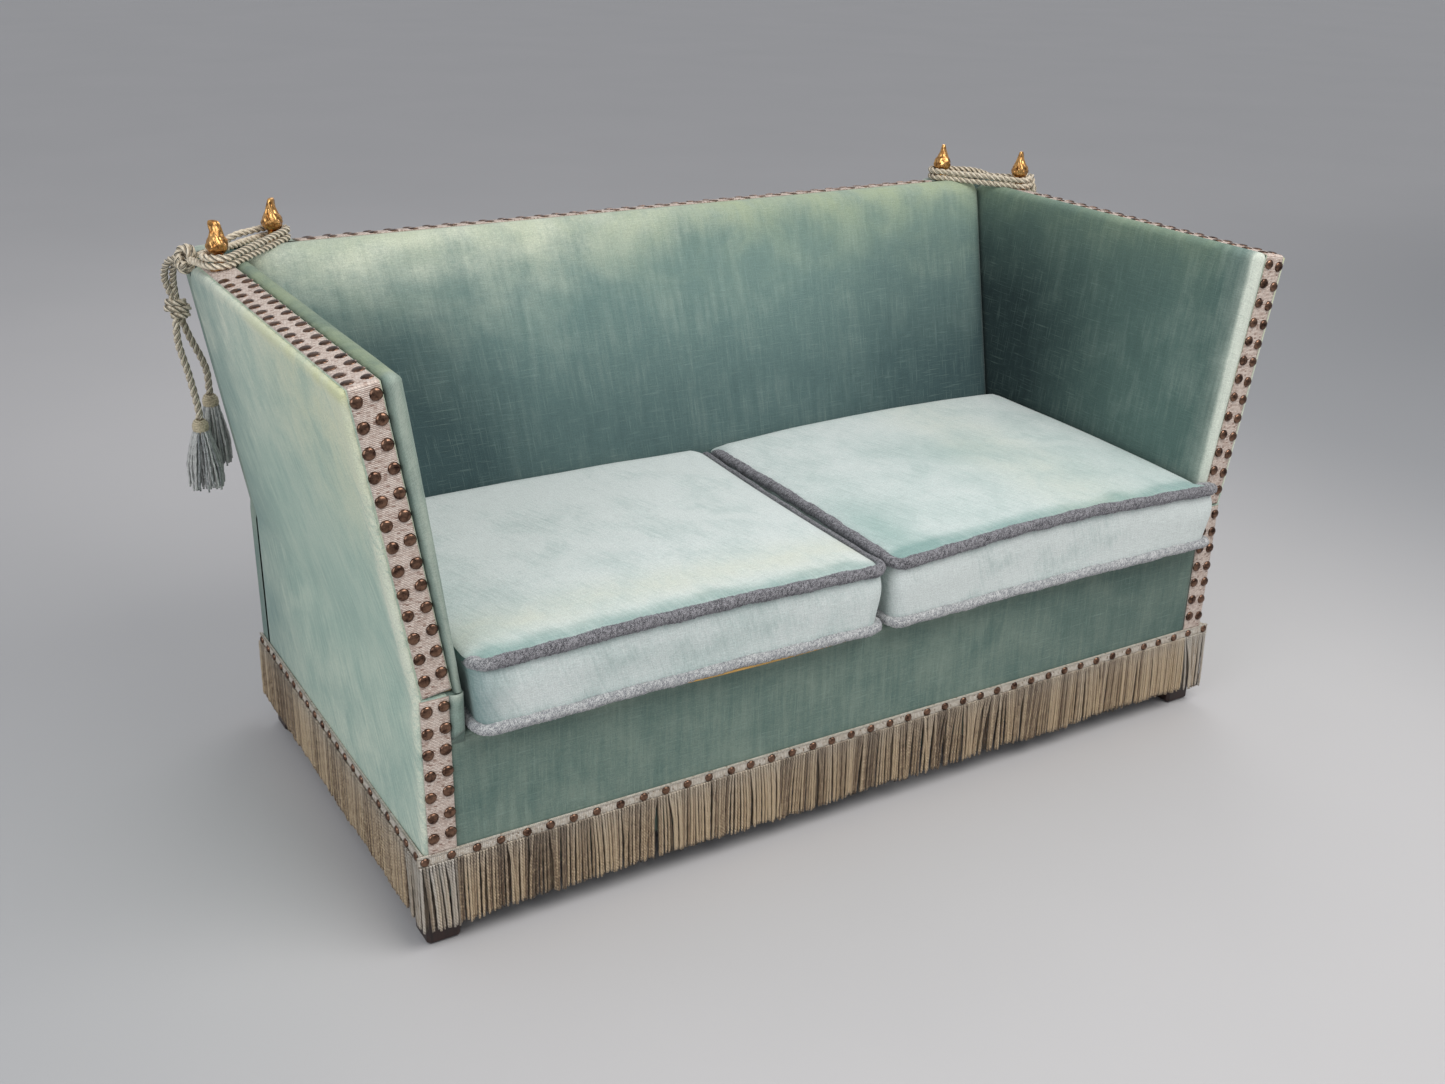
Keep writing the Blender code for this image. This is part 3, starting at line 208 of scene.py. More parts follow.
def area_light(name, place, toward, size, power, colour=(1, 1, 1)):
    data = bpy.data.lights.new(name, "AREA")
    data.shape = "RECTANGLE"
    data.size, data.size_y = size
    data.energy = power
    data.color = colour
    lamp = bpy.data.objects.new(name, data)
    bpy.context.scene.collection.objects.link(lamp)
    lamp.location = place
    lamp.rotation_euler = (Vector(toward) - Vector(place)).to_track_quat("-Z", "Y").to_euler()


def build_stage():
    world = bpy.data.worlds.new("studio")
    bpy.context.scene.world = world
    world.use_nodes = True
    background = world.node_tree.nodes["Background"]
    background.inputs["Color"].default_value = (0.92, 0.95, 1.0, 1)
    background.inputs["Strength"].default_value = 0.50
    area_light("key", (0.6, -1.9, 3.2), (0, -0.05, 0.4), (2.6, 2.0), 76, (1.0, 0.985, 0.96))
    area_light("fill", (-3.4, -1.4, 1.9), (-0.2, 0, 0.45), (2.2, 2.2), 40, (0.93, 0.97, 1.0))
    area_light("back", (1.8, 2.6, 2.6), (0, 0, 0.6), (2.4, 1.6), 22)

    mesh = bpy.data.meshes.new("floor")
    reach = 60
    corners = [(-reach, -reach, 0), (reach, -reach, 0), (reach, reach, 0), (-reach, reach, 0)]
    mesh.from_pydata(corners, [], [(0, 1, 2, 3)])
    floor = bpy.data.objects.new("floor", mesh)
    bpy.context.scene.collection.objects.link(floor)
    paint = Paint("floor_paint", 0.55)
    where = paint.place("object", (0.9, 0.9, 1))
    mottle = paint.noise(where, detail=4)
    # Painted shade: the floor darker to the left and right of the sofa, fading out towards the back.
    spot = paint.split(paint.place("object"))
    off_middle = paint.math("ABSOLUTE", paint.minus(spot[0], 0.2))
    shaded_sides = paint.span(off_middle, 0.8, 2.4)
    shade_reach = paint.span(spot[1], 1.0, 3.5, 1.0, 0.0)
    pale = paint.mix(mottle, srgb(193, 191, 191), srgb(201, 198, 198))
    paint.colour(paint.mix(paint.times(shaded_sides, shade_reach), pale, srgb(166, 166, 168)))
    floor.data.materials.append(paint.material)


# Node materials

def srgb(red, green, blue):
    """A linear colour from screen values of 0 to 255."""
    shares = [value / 255 for value in (red, green, blue)]
    return tuple(s / 12.92 if s < 0.04045 else ((s + 0.055) / 1.055) ** 2.4 for s in shares)


def darker(colour, share):
    return tuple(value * share for value in colour)


class Paint:
    """A node material, built step by step."""

    def __init__(self, name, roughness=0.8, metallic=0.0):
        self.material = bpy.data.materials.new(name)
        self.material.use_nodes = True
        self.tree = self.material.node_tree
        self.shader = self.tree.nodes["Principled BSDF"]
        self.shader.inputs["Roughness"].default_value = roughness
        self.shader.inputs["Metallic"].default_value = metallic

    def fill(self, socket, value):
        if isinstance(value, bpy.types.NodeSocket):
            self.tree.links.new(value, socket)
        elif socket.type == "RGBA":
            socket.default_value = (*value[:3], 1)
        else:
            socket.default_value = value

    def add(self, kind, inputs=None, **settings):
        node = self.tree.nodes.new(kind)
        for key, value in settings.items():
            setattr(node, key, value)
        for key, value in (inputs or {}).items():
            self.fill(node.inputs[key], value)
        return node

    def place(self, source="uv", size=(1, 1, 1), turn=0.0):
        """Coordinates in features of the given size in metres, turned first."""
        if source == "uv":
            found = self.add("ShaderNodeUVMap", uv_map="metres").outputs["UV"]
        else:
            found = self.add("ShaderNodeTexCoord").outputs["Object"]
        return self.add("ShaderNodeMapping", {"Vector": found, "Rotation": (0, 0, turn), "Scale": size},
                        vector_type="TEXTURE").outputs[0]

    def noise(self, where, detail=2.0, rough=0.5, distortion=0.0):
        return self.add("ShaderNodeTexNoise", {"Vector": where, "Scale": 1.0, "Detail": detail,
                                               "Roughness": rough, "Distortion": distortion}).outputs[0]

    def math(self, operation, first, second=0.0, clamp=False):
        node = self.add("ShaderNodeMath", {0: first, 1: second}, operation=operation, use_clamp=clamp)
        return node.outputs[0]

    def plus(self, first, second, clamp=False):
        return self.math("ADD", first, second, clamp)

    def minus(self, first, second, clamp=False):
        return self.math("SUBTRACT", first, second, clamp)

    def times(self, first, second, clamp=False):
        return self.math("MULTIPLY", first, second, clamp)

    def span(self, value, low, high, to_low=0.0, to_high=1.0):
        return self.add("ShaderNodeMapRange", {0: value, 1: low, 2: high, 3: to_low, 4: to_high},
                        interpolation_type="SMOOTHSTEP").outputs[0]

    def mix(self, factor, first, second, blend="MIX"):
        node = self.add("ShaderNodeMix", {0: factor, 6: first, 7: second}, data_type="RGBA", blend_type=blend)
        return node.outputs[2]

    def mask(self, name):
        return self.add("ShaderNodeAttribute", attribute_name=name).outputs["Fac"]

    def split(self, vector):
        return self.add("ShaderNodeSeparateXYZ", {0: vector}).outputs

    def colour(self, value):
        self.fill(self.shader.inputs["Base Color"], value)

    def shared(self, value):
        """One value as the three channels of a colour."""
        return self.add("ShaderNodeCombineColor", {0: value, 1: value, 2: value}).outputs[0]

    def bump(self, height, distance, strength=1.0):
        made = self.add("ShaderNodeBump", {"Height": height, "Distance": distance, "Strength": strength})
        self.fill(self.shader.inputs["Normal"], made.outputs[0])

    def sheen(self, weight, tint, roughness=0.35):
        self.shader.inputs["Sheen Weight"].default_value = weight
        self.shader.inputs["Sheen Tint"].default_value = (*tint, 1)
        self.shader.inputs["Sheen Roughness"].default_value = roughness


def velvet(name, base, worn, deep, warm, slub, nap, patch, weave, ragged, sheen, slub_colour=None,
           nap_turn=0.0, nap_size=(0.012, 0.16)):
    """Pile fabric: brushed streaks, paler places of wear and of painted highlight, darker places of painted
    shade in the deep colour, its weave, and slubs along both threads.
    """
    paint = Paint(name, 0.92)

    def centred(size, detail, rough, turn=0.0, distortion=0.0):
        found = paint.noise(paint.place("uv", (*size, 1), turn), detail, rough, distortion)
        return paint.minus(found, 0.5)

    patches = centred((0.11, 0.11), 5, 0.6, 0.0, 0.4)
    streaks = centred(nap_size, 4, 0.62, nap_turn)
    crumbs = centred((0.007, 0.007), 4, 0.75)
    flecks = paint.noise(paint.place("uv", (0.0022, 0.0022, 1)), 3, 0.7)
    cloudy = paint.plus(paint.times(patches, patch * 1.7), paint.times(streaks, nap * 1.5))
    patchy = paint.plus(1.0, paint.times(paint.plus(crumbs, patches), 3.2 * ragged))
    # Paler towards the pale colour: real wear, and painted highlights where the mask puts them.
    paling_share = paint.plus(paint.times(paint.mask("worn"), patchy), cloudy, True)
    # Darker towards the deep colour where the shade mask says: painted shade.
    shade = paint.minus(paint.mask("shade"), cloudy, True)
    colour = paint.mix(paling_share, base, worn)
    colour = paint.mix(shade, colour, deep)
    warmth = paint.times(paint.mask("warm"), paint.span(patches, -0.2, 0.2, 0.5, 1.4), True)
    colour = paint.mix(warmth, colour, warm)
    upright = paint.span(paint.noise(paint.place("uv", (0.0030, 0.075, 1)), 2, 0.6), 0.54, 0.74)
    level = paint.span(paint.noise(paint.place("uv", (0.060, 0.0030, 1)), 2, 0.6), 0.54, 0.74)
    threads = paint.math("MAXIMUM", upright, level)
    colour = paint.mix(paint.times(threads, slub), colour, slub_colour or worn)
    fine_level = centred((0.020, 0.0018), 3, 0.6)
    fine_upright = centred((0.0018, 0.030), 3, 0.6)
    cloth = paint.plus(paint.times(fine_level, 4.5 * weave), paint.times(fine_upright, 3.0 * weave))
    grain = paint.plus(paint.span(flecks, 0.25, 0.75, 0.84, 1.16), cloth)
    paint.colour(paint.mix(1.0, colour, paint.shared(grain), "MULTIPLY"))
    relief = paint.plus(paint.times(threads, 0.5), paint.plus(flecks, fine_level))
    paint.bump(relief, 0.0007, 0.6)
    paint.sheen(sheen, (0.90, 0.96, 0.92))
    return paint.material


def braid_paint(name, light, middle, dark, cell=(0.0046, 0.0025), flecks=0.16):
    """Knitted braid: short slanting stitches in rows, some of them darker."""
    paint = Paint(name, 0.9)
    where = paint.split(paint.place("uv", (*cell, 1)))
    row = paint.math("FLOOR", where[1])
    shift = paint.times(paint.math("PINGPONG", row, 1.0), 0.5)
    slant = paint.times(where[1], 0.35)
    along = paint.plus(paint.plus(where[0], shift), slant)
    column = paint.math("FLOOR", along)
    cell_of = paint.add("ShaderNodeCombineXYZ", {0: column, 1: row}).outputs[0]
    chance = paint.add("ShaderNodeTexWhiteNoise", {0: cell_of}, noise_dimensions="2D").outputs[0]
    in_row = paint.math("FRACT", where[1])
    in_cell = paint.math("FRACT", along)
    across = paint.math("SINE", paint.times(in_row, math.pi))
    stitch = paint.times(across, paint.math("POWER", paint.math("SINE", paint.times(in_cell, math.pi)), 0.5))
    soft = paint.noise(paint.place("uv", (0.012, 0.012, 1)), 4, 0.6)
    colour = paint.mix(paint.span(chance, 0.15, 0.85), light, middle)
    colour = paint.mix(paint.span(chance, 1 - flecks, 1.0), colour, dark)
    colour = paint.mix(paint.span(soft, 0.45, 0.75, 0, 0.35), colour, middle)
    # Painted shade in the gaps between the stitches.
    colour = paint.mix(paint.span(stitch, 0.0, 0.5, 0.45, 0.0), colour, darker(dark, 0.5))
    paint.colour(colour)
    paint.bump(stitch, 0.0012, 0.9)
    paint.sheen(0.15, (1, 0.97, 0.92))
    return paint.material


def strand_paint(name, light, middle, dark, plies=2, lines=0.0, thread=None, pale=None, groove=0.16):
    """Twisted cord: u runs round it and v along it. lines are the painted plies' turns a metre."""
    paint = Paint(name, 0.85)
    where = paint.split(paint.place("uv"))
    tone = paint.mask("tone")
    turns = paint.times(where[0], plies)
    if lines:
        turns = paint.plus(turns, paint.times(where[1], lines))
    phase = paint.math("FRACT", paint.plus(turns, 0.5))
    from_groove = paint.minus(0.5, paint.math("ABSOLUTE", paint.minus(phase, 0.5)))
    yarns = paint.math("SINE", paint.times(turns, math.tau * 4))
    spots = paint.noise(paint.place("uv", (0.30, 0.0045, 1)), 3, 0.7)
    colour = paint.mix(tone, dark, middle)
    # Painted highlights: spots of the light colour along the cord.
    lit = paint.plus(spots, paint.times(tone, 0.25))
    colour = paint.mix(paint.span(lit, 0.42, 0.80), colour, light)
    if pale:
        colour = paint.mix(paint.mask("pale"), colour, paint.mix(tone, pale[1], pale[0]))
    # Painted shade between the yarns.
    colour = paint.mix(paint.span(yarns, -1.0, 0.1, 0.28, 0.0), colour, darker(dark, 0.45))
    if thread:
        off = paint.math("ABSOLUTE", paint.minus(phase, 0.76))
        colour = paint.mix(paint.span(off, 0.06, 0.11, 0.92, 0.0), colour, thread)
    # Painted shade in the grooves between the plies, and where the shade mask marks.
    colour = paint.mix(paint.span(from_groove, 0.0, groove, 0.80, 0.0), colour, darker(dark, 0.3))
    colour = paint.mix(paint.mask("shade"), colour, darker(dark, 0.25))
    paint.colour(colour)
    height = paint.plus(paint.times(yarns, 0.25), paint.span(from_groove, 0.0, 0.3))
    paint.bump(height, 0.0005, 0.6)
    paint.sheen(0.2, (1, 0.97, 0.9))
    return paint.material


def metal_paint(name, bright, dull, roughness, size, rough_size=0.012, recess=None):
    """Metal with tarnish in spots of one size, rougher places of another, and dark recesses."""
    paint = Paint(name, roughness, 1.0)
    tarnish = paint.noise(paint.place("object", (size, size, size)), 4, 0.65)
    colour = paint.mix(paint.span(tarnish, 0.38, 0.70), bright, dull)
    if recess:
        colour = paint.mix(paint.mask("shade"), colour, recess)
    paint.colour(colour)
    rough = paint.noise(paint.place("object", (rough_size,) * 3), 3, 0.6)
    rough = paint.span(rough, 0.3, 0.75, roughness * 0.7, roughness * 1.6)
    paint.fill(paint.shader.inputs["Roughness"], rough)
    paint.bump(tarnish, 0.0002, 0.4)
    return paint.material


def wood_paint(name, light, dark, size, roughness):
    """Grain that runs along the longest of the three sizes."""
    paint = Paint(name, roughness)
    where = paint.place("object", size)
    grain = paint.noise(where, 5, 0.65, 0.6)
    pores = paint.noise(paint.place("object", tuple(value * 0.22 for value in size)), 3, 0.7)
    colour = paint.mix(paint.span(grain, 0.35, 0.68), light, dark)
    colour = paint.mix(paint.span(pores, 0.55, 0.8, 0, 0.45), colour, darker(dark, 0.5))
    paint.colour(colour)
    paint.bump(paint.plus(grain, pores), 0.0005, 0.5)
    return paint.material


def cloth_paint(name, first, second, thread):
    """Plain woven cloth or webbing in the object's own coordinates."""
    paint = Paint(name, 0.92)
    where = paint.split(paint.place("object", (thread, thread, thread)))
    warp = paint.math("SINE", paint.times(where[0], math.pi))
    weave = paint.times(warp, paint.math("SINE", paint.times(paint.plus(where[1], where[2]), math.pi)))
    soft = paint.noise(paint.place("object", (0.03, 0.03, 0.03)), 4, 0.6)
    colour = paint.mix(paint.span(weave, -0.6, 0.8), first, second)
    colour = paint.mix(paint.span(soft, 0.4, 0.75, 0, 0.4), colour, darker(first, 0.6))
    paint.colour(colour)
    paint.bump(weave, 0.0005, 0.7)
    return paint.material


# Meshes

class Builder:
    """Collects grids of points into one mesh, with its coordinates in metres and its masks."""

    def __init__(self):
        self.points, self.quads, self.quad_uvs, self.caps, self.masks = [], [], [], [], {}
        self.count = 0

    def add(self, grid, wrap=False, ends=False, u=None, v=None, flip=False, **masks):
        """A grid of rows by columns of points, as it is or with its columns in the other order.

        wrap joins the last column to the first, and ends closes the first and last rows.
        """
        grid = np.asarray(grid, float)
        if flip:
            grid = grid[:, ::-1]
            masks = {name: value[:, ::-1] if np.ndim(value) == 2 else value for name, value in masks.items()}
        rows, columns = grid.shape[:2]
        if u is None:
            steps = np.linalg.norm(np.diff(grid, axis=1), axis=2).mean(0)
            u = np.concatenate([[0], np.cumsum(steps)])
            if wrap:
                u = np.append(u, u[-1] + np.linalg.norm(grid[:, 0] - grid[:, -1], axis=1).mean())
        if v is None:
            v = np.concatenate([[0], np.cumsum(np.linalg.norm(np.diff(grid, axis=0), axis=2).mean(1))])
        across = columns if wrap else columns - 1
        i, j = np.meshgrid(np.arange(rows - 1), np.arange(across), indexing="ij")
        i, j = i.ravel(), j.ravel()
        right = (j + 1) % columns
        low, high = i * columns, (i + 1) * columns
        self.quads.append(np.stack([low + j, low + right, high + right, high + j], 1) + self.count)
        u, v = np.asarray(u, float), np.asarray(v, float)
        self.quad_uvs += [np.stack([u[j], v[i], u[j + 1], v[i], u[j + 1], v[i + 1], u[j], v[i + 1]], 1)]
        if ends:
            self.caps.append([self.count + index for index in reversed(range(columns))])
            self.caps.append([self.count + (rows - 1) * columns + index for index in range(columns)])
        for name in set(self.masks) | set(masks):
            values = self.masks.setdefault(name, [np.zeros(self.count)] if self.count else [])
            given = np.broadcast_to(np.asarray(masks.get(name, 0.0), float), (rows, columns))
            values.append(given.ravel())
        self.points.append(grid.reshape(-1, 3))
        self.count += rows * columns

    def make(self, name, material, slot, body=None, *replaced, orient=False, skin=None):
        """The mesh as a piece on a body. skin is the thickness that an open cloth gets, and its offset."""
        points = np.concatenate(self.points)
        quads = np.concatenate(self.quads)
        mesh = bpy.data.meshes.new(name)
        quad_loops = quads.ravel()
        cap_loops = [index for cap in self.caps for index in cap]
        loops = np.concatenate([quad_loops, np.array(cap_loops, int)])
        sizes = np.concatenate([np.full(len(quads), 4), np.array([len(cap) for cap in self.caps], int)])
        starts = np.concatenate([[0], np.cumsum(sizes)[:-1]])
        mesh.vertices.add(len(points))
        mesh.vertices.foreach_set("co", points.astype(np.float32).ravel())
        mesh.loops.add(len(loops))
        mesh.loops.foreach_set("vertex_index", loops.astype(np.int32))
        mesh.polygons.add(len(sizes))
        mesh.polygons.foreach_set("loop_start", starts.astype(np.int32))
        mesh.update(calc_edges=True)
        mesh.validate()
        flat = np.zeros((len(mesh.loops), 2), np.float32)
        made_uvs = np.concatenate(self.quad_uvs).reshape(-1, 2)
        flat[:len(made_uvs)] = made_uvs
        layer = mesh.uv_layers.new(name="metres")
        layer.data.foreach_set("uv", flat.ravel())
        for key, values in self.masks.items():
            attribute = mesh.attributes.new(key, "FLOAT", "POINT")
            attribute.data.foreach_set("value", np.concatenate(values).astype(np.float32))
        if orient:
            shape = bmesh.new()
            shape.from_mesh(mesh)
            bmesh.ops.recalc_face_normals(shape, faces=shape.faces)
            shape.to_mesh(mesh)
            shape.free()
        mesh.shade_smooth()
        mesh.materials.append(material)
        made = bpy.data.objects.new(name, mesh)
        bpy.context.scene.collection.objects.link(made)
        if skin:
            solid = made.modifiers.new("thickness", "SOLIDIFY")
            solid.thickness, solid.offset = skin
        if body:
            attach(made, body)
        if replaced:
            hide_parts(*replaced)
        return made


def sheet(name, grid, material, slot, body=None, *replaced, skin=None, flip=False, **masks):
    """A piece made of one grid."""
    builder = Builder()
    builder.add(grid, flip=flip, **masks)
    return builder.make(name, material, slot, body, *replaced, skin=skin)


def cloud(points, size, seed):
    """Soft noise from -1 to 1 at each point of an array."""
    flat = np.asarray(points, float).reshape(-1, 3) / size + seed * 7.31
    values = np.array([noise.noise(Vector(point)) for point in flat])
    return values.reshape(np.asarray(points).shape[:-1])


def cloud_on(first, second, size, seed, third=0.0):
    """Soft noise over a sheet, from its two coordinates."""
    return cloud(np.stack([first, second, np.full_like(first, third)], -1), size, seed)


def frames_along(path):
    """Two directions square to the path that don't twist along the way."""
    path = np.asarray(path, float)
    tangents = np.gradient(path, axis=0)
    tangents /= np.linalg.norm(tangents, axis=1)[:, None]
    first = np.zeros_like(path)
    start = np.cross(tangents[0], (0, 0, 1))
    if np.linalg.norm(start) < 0.3:
        start = np.cross(tangents[0], (1, 0, 0))
    first[0] = start / np.linalg.norm(start)
    for index in range(1, len(path)):
        carried = first[index - 1] - tangents[index] * (first[index - 1] @ tangents[index])
        first[index] = carried / np.linalg.norm(carried)
    return first, np.cross(tangents, first)


def lengths_along(path):
    path = np.asarray(path, float)
    return np.concatenate([[0], np.cumsum(np.linalg.norm(np.diff(path, axis=0), axis=1))])


def resample(path, spacing):
    path = np.asarray(path, float)
    along = lengths_along(path)
    count = max(3, int(round(along[-1] / spacing)) + 1)
    wanted = np.linspace(0, along[-1], count)
    return np.stack([np.interp(wanted, along, path[:, axis]) for axis in range(3)], axis=1)


def curve_through(points, samples=14, closed=False):
    """A smooth curve through the points."""
    spots = [np.asarray(point, float) for point in points]
    if closed:
        ends = [spots[-1]] + spots + spots[:2]
    else:
        ends = [2 * spots[0] - spots[1]] + spots + [2 * spots[-1] - spots[-2]]
    dense = []
    for index in range(len(ends) - 3):
        a, b, c, d = ends[index:index + 4]
        for step in range(samples):
            t = step / samples
            dense.append(0.5 * (2 * b + (c - a) * t + (2 * a - 5 * b + 4 * c - d) * t ** 2
                                + (3 * b - a - 3 * c + d) * t ** 3))
    if not closed:
        dense.append(spots[-1])
    return np.array(dense)


def twisted(builder, path, radius, plies=3, pitch=0.024, around=12, swell=0.9, start_turn=0.0, **masks):
    """A cord of round plies along a path: a lobed section that turns as it goes."""
    path = np.asarray(path, float)
    first, second = frames_along(path)
    along = lengths_along(path)
    angle = np.arange(around) / around * math.tau
    phase = (angle + math.pi / plies) % (math.tau / plies) - math.pi / plies
    ply = 1 / (1 + swell)
    offset = ply * swell
    lobes = offset * np.cos(phase) + np.sqrt(np.maximum(ply ** 2 - (offset * np.sin(phase)) ** 2, 0.0))
    size = np.asarray(radius, float) * np.ones(len(path))
    swing = angle[None, :] + (start_turn + along / pitch * math.tau)[:, None]
    ring = np.cos(swing)[..., None] * first[:, None, :] + np.sin(swing)[..., None] * second[:, None, :]
    grid = path[:, None, :] + ring * (lobes[None, :] * size[:, None])[..., None]
    builder.add(grid, wrap=True, ends=True, u=np.arange(around + 1) / around, v=along, **masks)


def coil(centre, axis, level, wide, high, turns, step, start):
    """A rope's path coiled round an axis, as wide as given along level, with its ends tucked in."""
    axis = Vector(axis).normalized()
    level = Vector(level)
    level = (level - axis * axis.dot(level)).normalized()
    other = axis.cross(level)
    share = np.linspace(0, 1, int(36 * turns))
    angle = start + share * turns * math.tau
    tuck = 1 - 0.45 * np.maximum(smoothstep(0.10, 0.0, share), smoothstep(0.90, 1.0, share))
    turned = np.outer(np.cos(angle) * wide * tuck, level) + np.outer(np.sin(angle) * high * tuck, other)
    return np.array(centre) + turned + np.outer((share - 0.5) * turns * step, axis)


def pillow(width, height, radii, profile, inner):
    """A panel with rolled edges, as one grid.

    radii are those of the low-low, low-high, high-low and high-high corners in (u, v). profile is a list of
    (inset, level) from the rim inwards. Returns u, v, level and the distance from the rim, as arrays.
    """
    insets = np.array([point[0] for point in profile], float)
    levels = np.array([point[1] for point in profile], float)
    run = np.concatenate([[0], np.cumsum(np.hypot(np.diff(insets), np.diff(levels)))])
    rim, depth_in = run[-1], insets[-1]
    extra = 2 * (rim - depth_in)

    def stations(length, count):
        inside = np.linspace(rim, length + extra - rim, count)
        return np.concatenate([run[:-1], inside, (length + extra - run[:-1])[::-1]])

    flat_u = stations(width, inner[0])
    flat_v = stations(height, inner[1])
    u, v = np.meshgrid(flat_u, flat_v)
    full_u, full_v = width + extra, height + extra
    near_u, near_v = np.minimum(u, full_u - u), np.minimum(v, full_v - v)
    least = np.minimum(near_u, near_v)
    inset = np.interp(least, run, insets) + np.maximum(least - rim, 0)
    level = np.interp(least, run, levels)
    scale_u = (width - 2 * inset) / (full_u - 2 * least)
    scale_v = (height - 2 * inset) / (full_v - 2 * least)
    a = inset + (near_u - least) * scale_u
    b = inset + (near_v - least) * scale_v
    low_u, low_v = u <= full_u / 2, v <= full_v / 2
    radius = np.where(low_u, np.where(low_v, radii[0], radii[1]), np.where(low_v, radii[2], radii[3]))
    nested = np.maximum(radius - inset, 0)
    along = np.maximum(a, b) - inset
    inside = (nested > 0) & (along < nested)
    turn = np.where(inside, (1 - along / np.maximum(nested, 1e-9)) * math.pi / 4, 0)
    wide_first = a <= b
    near_side = inset + nested * (1 - np.cos(turn))
    far_side = inset + nested * (1 - np.sin(turn))
    new_a = np.where(inside, np.where(wide_first, near_side, far_side), a)
    new_b = np.where(inside, np.where(wide_first, far_side, near_side), b)
    out_u = np.where(low_u, new_a, width - new_a)
    out_v = np.where(low_v, new_b, height - new_b)
    return out_u, out_v, level, least


def arc_profile(inset, level, radius, steps=6):
    """From a wall at an inset, over a rounded edge of a radius, to a face at a level."""
    return [(inset + radius * (1 - math.cos(bend)), level - radius + radius * math.sin(bend))
            for bend in [0.0] + bends(steps)]


# Ropes

def arm_finial_spot():
    """The x and the depth of an arm's finial on the right side."""
    inset = pivot_inset - braid_outer_inset - braid_width / 2
    rise = arm_height + gap + braid_thickness
    return pivot_x + inset * math.cos(arm_lean) + rise * math.sin(arm_lean), arm_finial_depth


def arc(centre, radius, start, end, count):
    """Points of a level arc, as x and depth."""
    angles = [start + (end - start) * step / count for step in range(count + 1)]
    return [(centre[0] + radius * math.cos(angle), centre[1] + radius * math.sin(angle)) for angle in angles]


def rope_winding(side, sign):
    """The CAD source's winding: two turns round both finials, from the knot and back to it."""
    arm_x, arm_y = arm_finial_spot()
    arm_at = Vector((-arm_x, arm_y))
    back_at = Vector((-back_finial_x, back_finial_depth))
    knot = Vector((-upper_knots[side][0], upper_knots[side][1]))
    knot_height = upper_knots[side][2]
    run = back_at - arm_at
    heading = math.atan2(run.y, run.x)
    near = heading - math.radians(90)
    far = heading + math.radians(90)
    to_knot = knot - arm_at
    arrive = math.atan2(to_knot.y, to_knot.x) + math.acos(rope_turn_radius / to_knot.length)
    from_back = knot - back_at
    leave = math.atan2(from_back.y, from_back.x) - math.acos(rope_turn_radius / from_back.length)
    leave %= math.tau
    turn_count = rope_turn_points // 2 - 2
    first_run_count = 2
    run_count = 4
    last_run_count = 8
    settle_share = 0.35
    stages = []

    def add(points, low, high):
        for index, spot in enumerate(points):
            if stages and index == 0:
                continue
            stages.append((spot, low + (high - low) * index / (len(points) - 1)))

    def straight(start, end, count):
        return [tuple(Vector(start).lerp(Vector(end), step / count)) for step in range(count + 1)]

    first = arc(arm_at, rope_turn_radius, arrive, near + math.tau, turn_count)
    start_way = (Vector(first[0]) - knot).normalized()
    add(straight(knot + start_way * (knot_radius + gap), first[0], first_run_count), 0, 0)
    add(first, 0, 0)
    back_turn = arc(back_at, rope_turn_radius, near, far, turn_count)
    add(straight(first[-1], back_turn[0], run_count), 0, 0)
    add(back_turn, 0, 0)
    second = arc(arm_at, rope_turn_radius, far, near + math.tau, turn_count)
    add(straight(back_turn[-1], second[0], run_count), 0, 1)
    add(second, 1, 1)
    last = arc(back_at, rope_turn_radius, near, leave, turn_count)
    add(straight(second[-1], last[0], run_count), 1, 1)
    add(last, 1, 1)
    end_way = (Vector(last[-1]) - knot).normalized()
    stages_before = len(stages)
    add(straight(last[-1], knot + end_way * (knot_radius + gap), last_run_count), 1, 1)
    points = []
    for index, (spot, level) in enumerate(stages):
        along = (Vector(spot) - arm_at).dot(run) / run.length_squared
        along = min(1.0, max(0.0, along))
        height = rope_arm_height + (rope_back_height - rope_arm_height) * along + rope_climb * level
        if index < first_run_count:
            height += (knot_height - height) * (1 - index / first_run_count)
        if index >= stages_before:
            share = max(0.0, (index - stages_before + 1) / last_run_count - settle_share) / (1 - settle_share)
            height += (knot_height - height) * share ** 2 * (3 - 2 * share)
        points.append(at(-sign * spot[0], spot[1], height))
    return points


def on_side(sign, spot):
    """The point at a place that is given for the right side."""
    return at(sign * spot[0], spot[1], spot[2])


def round_axis(centre, radius, angle, height):
    """Points round an upright axis through a centre."""
    x, y = centre[0] + radius * np.cos(angle), centre[1] + radius * np.sin(angle)
    return np.stack(np.broadcast_arrays(x, y, centre[2] + height), -1)


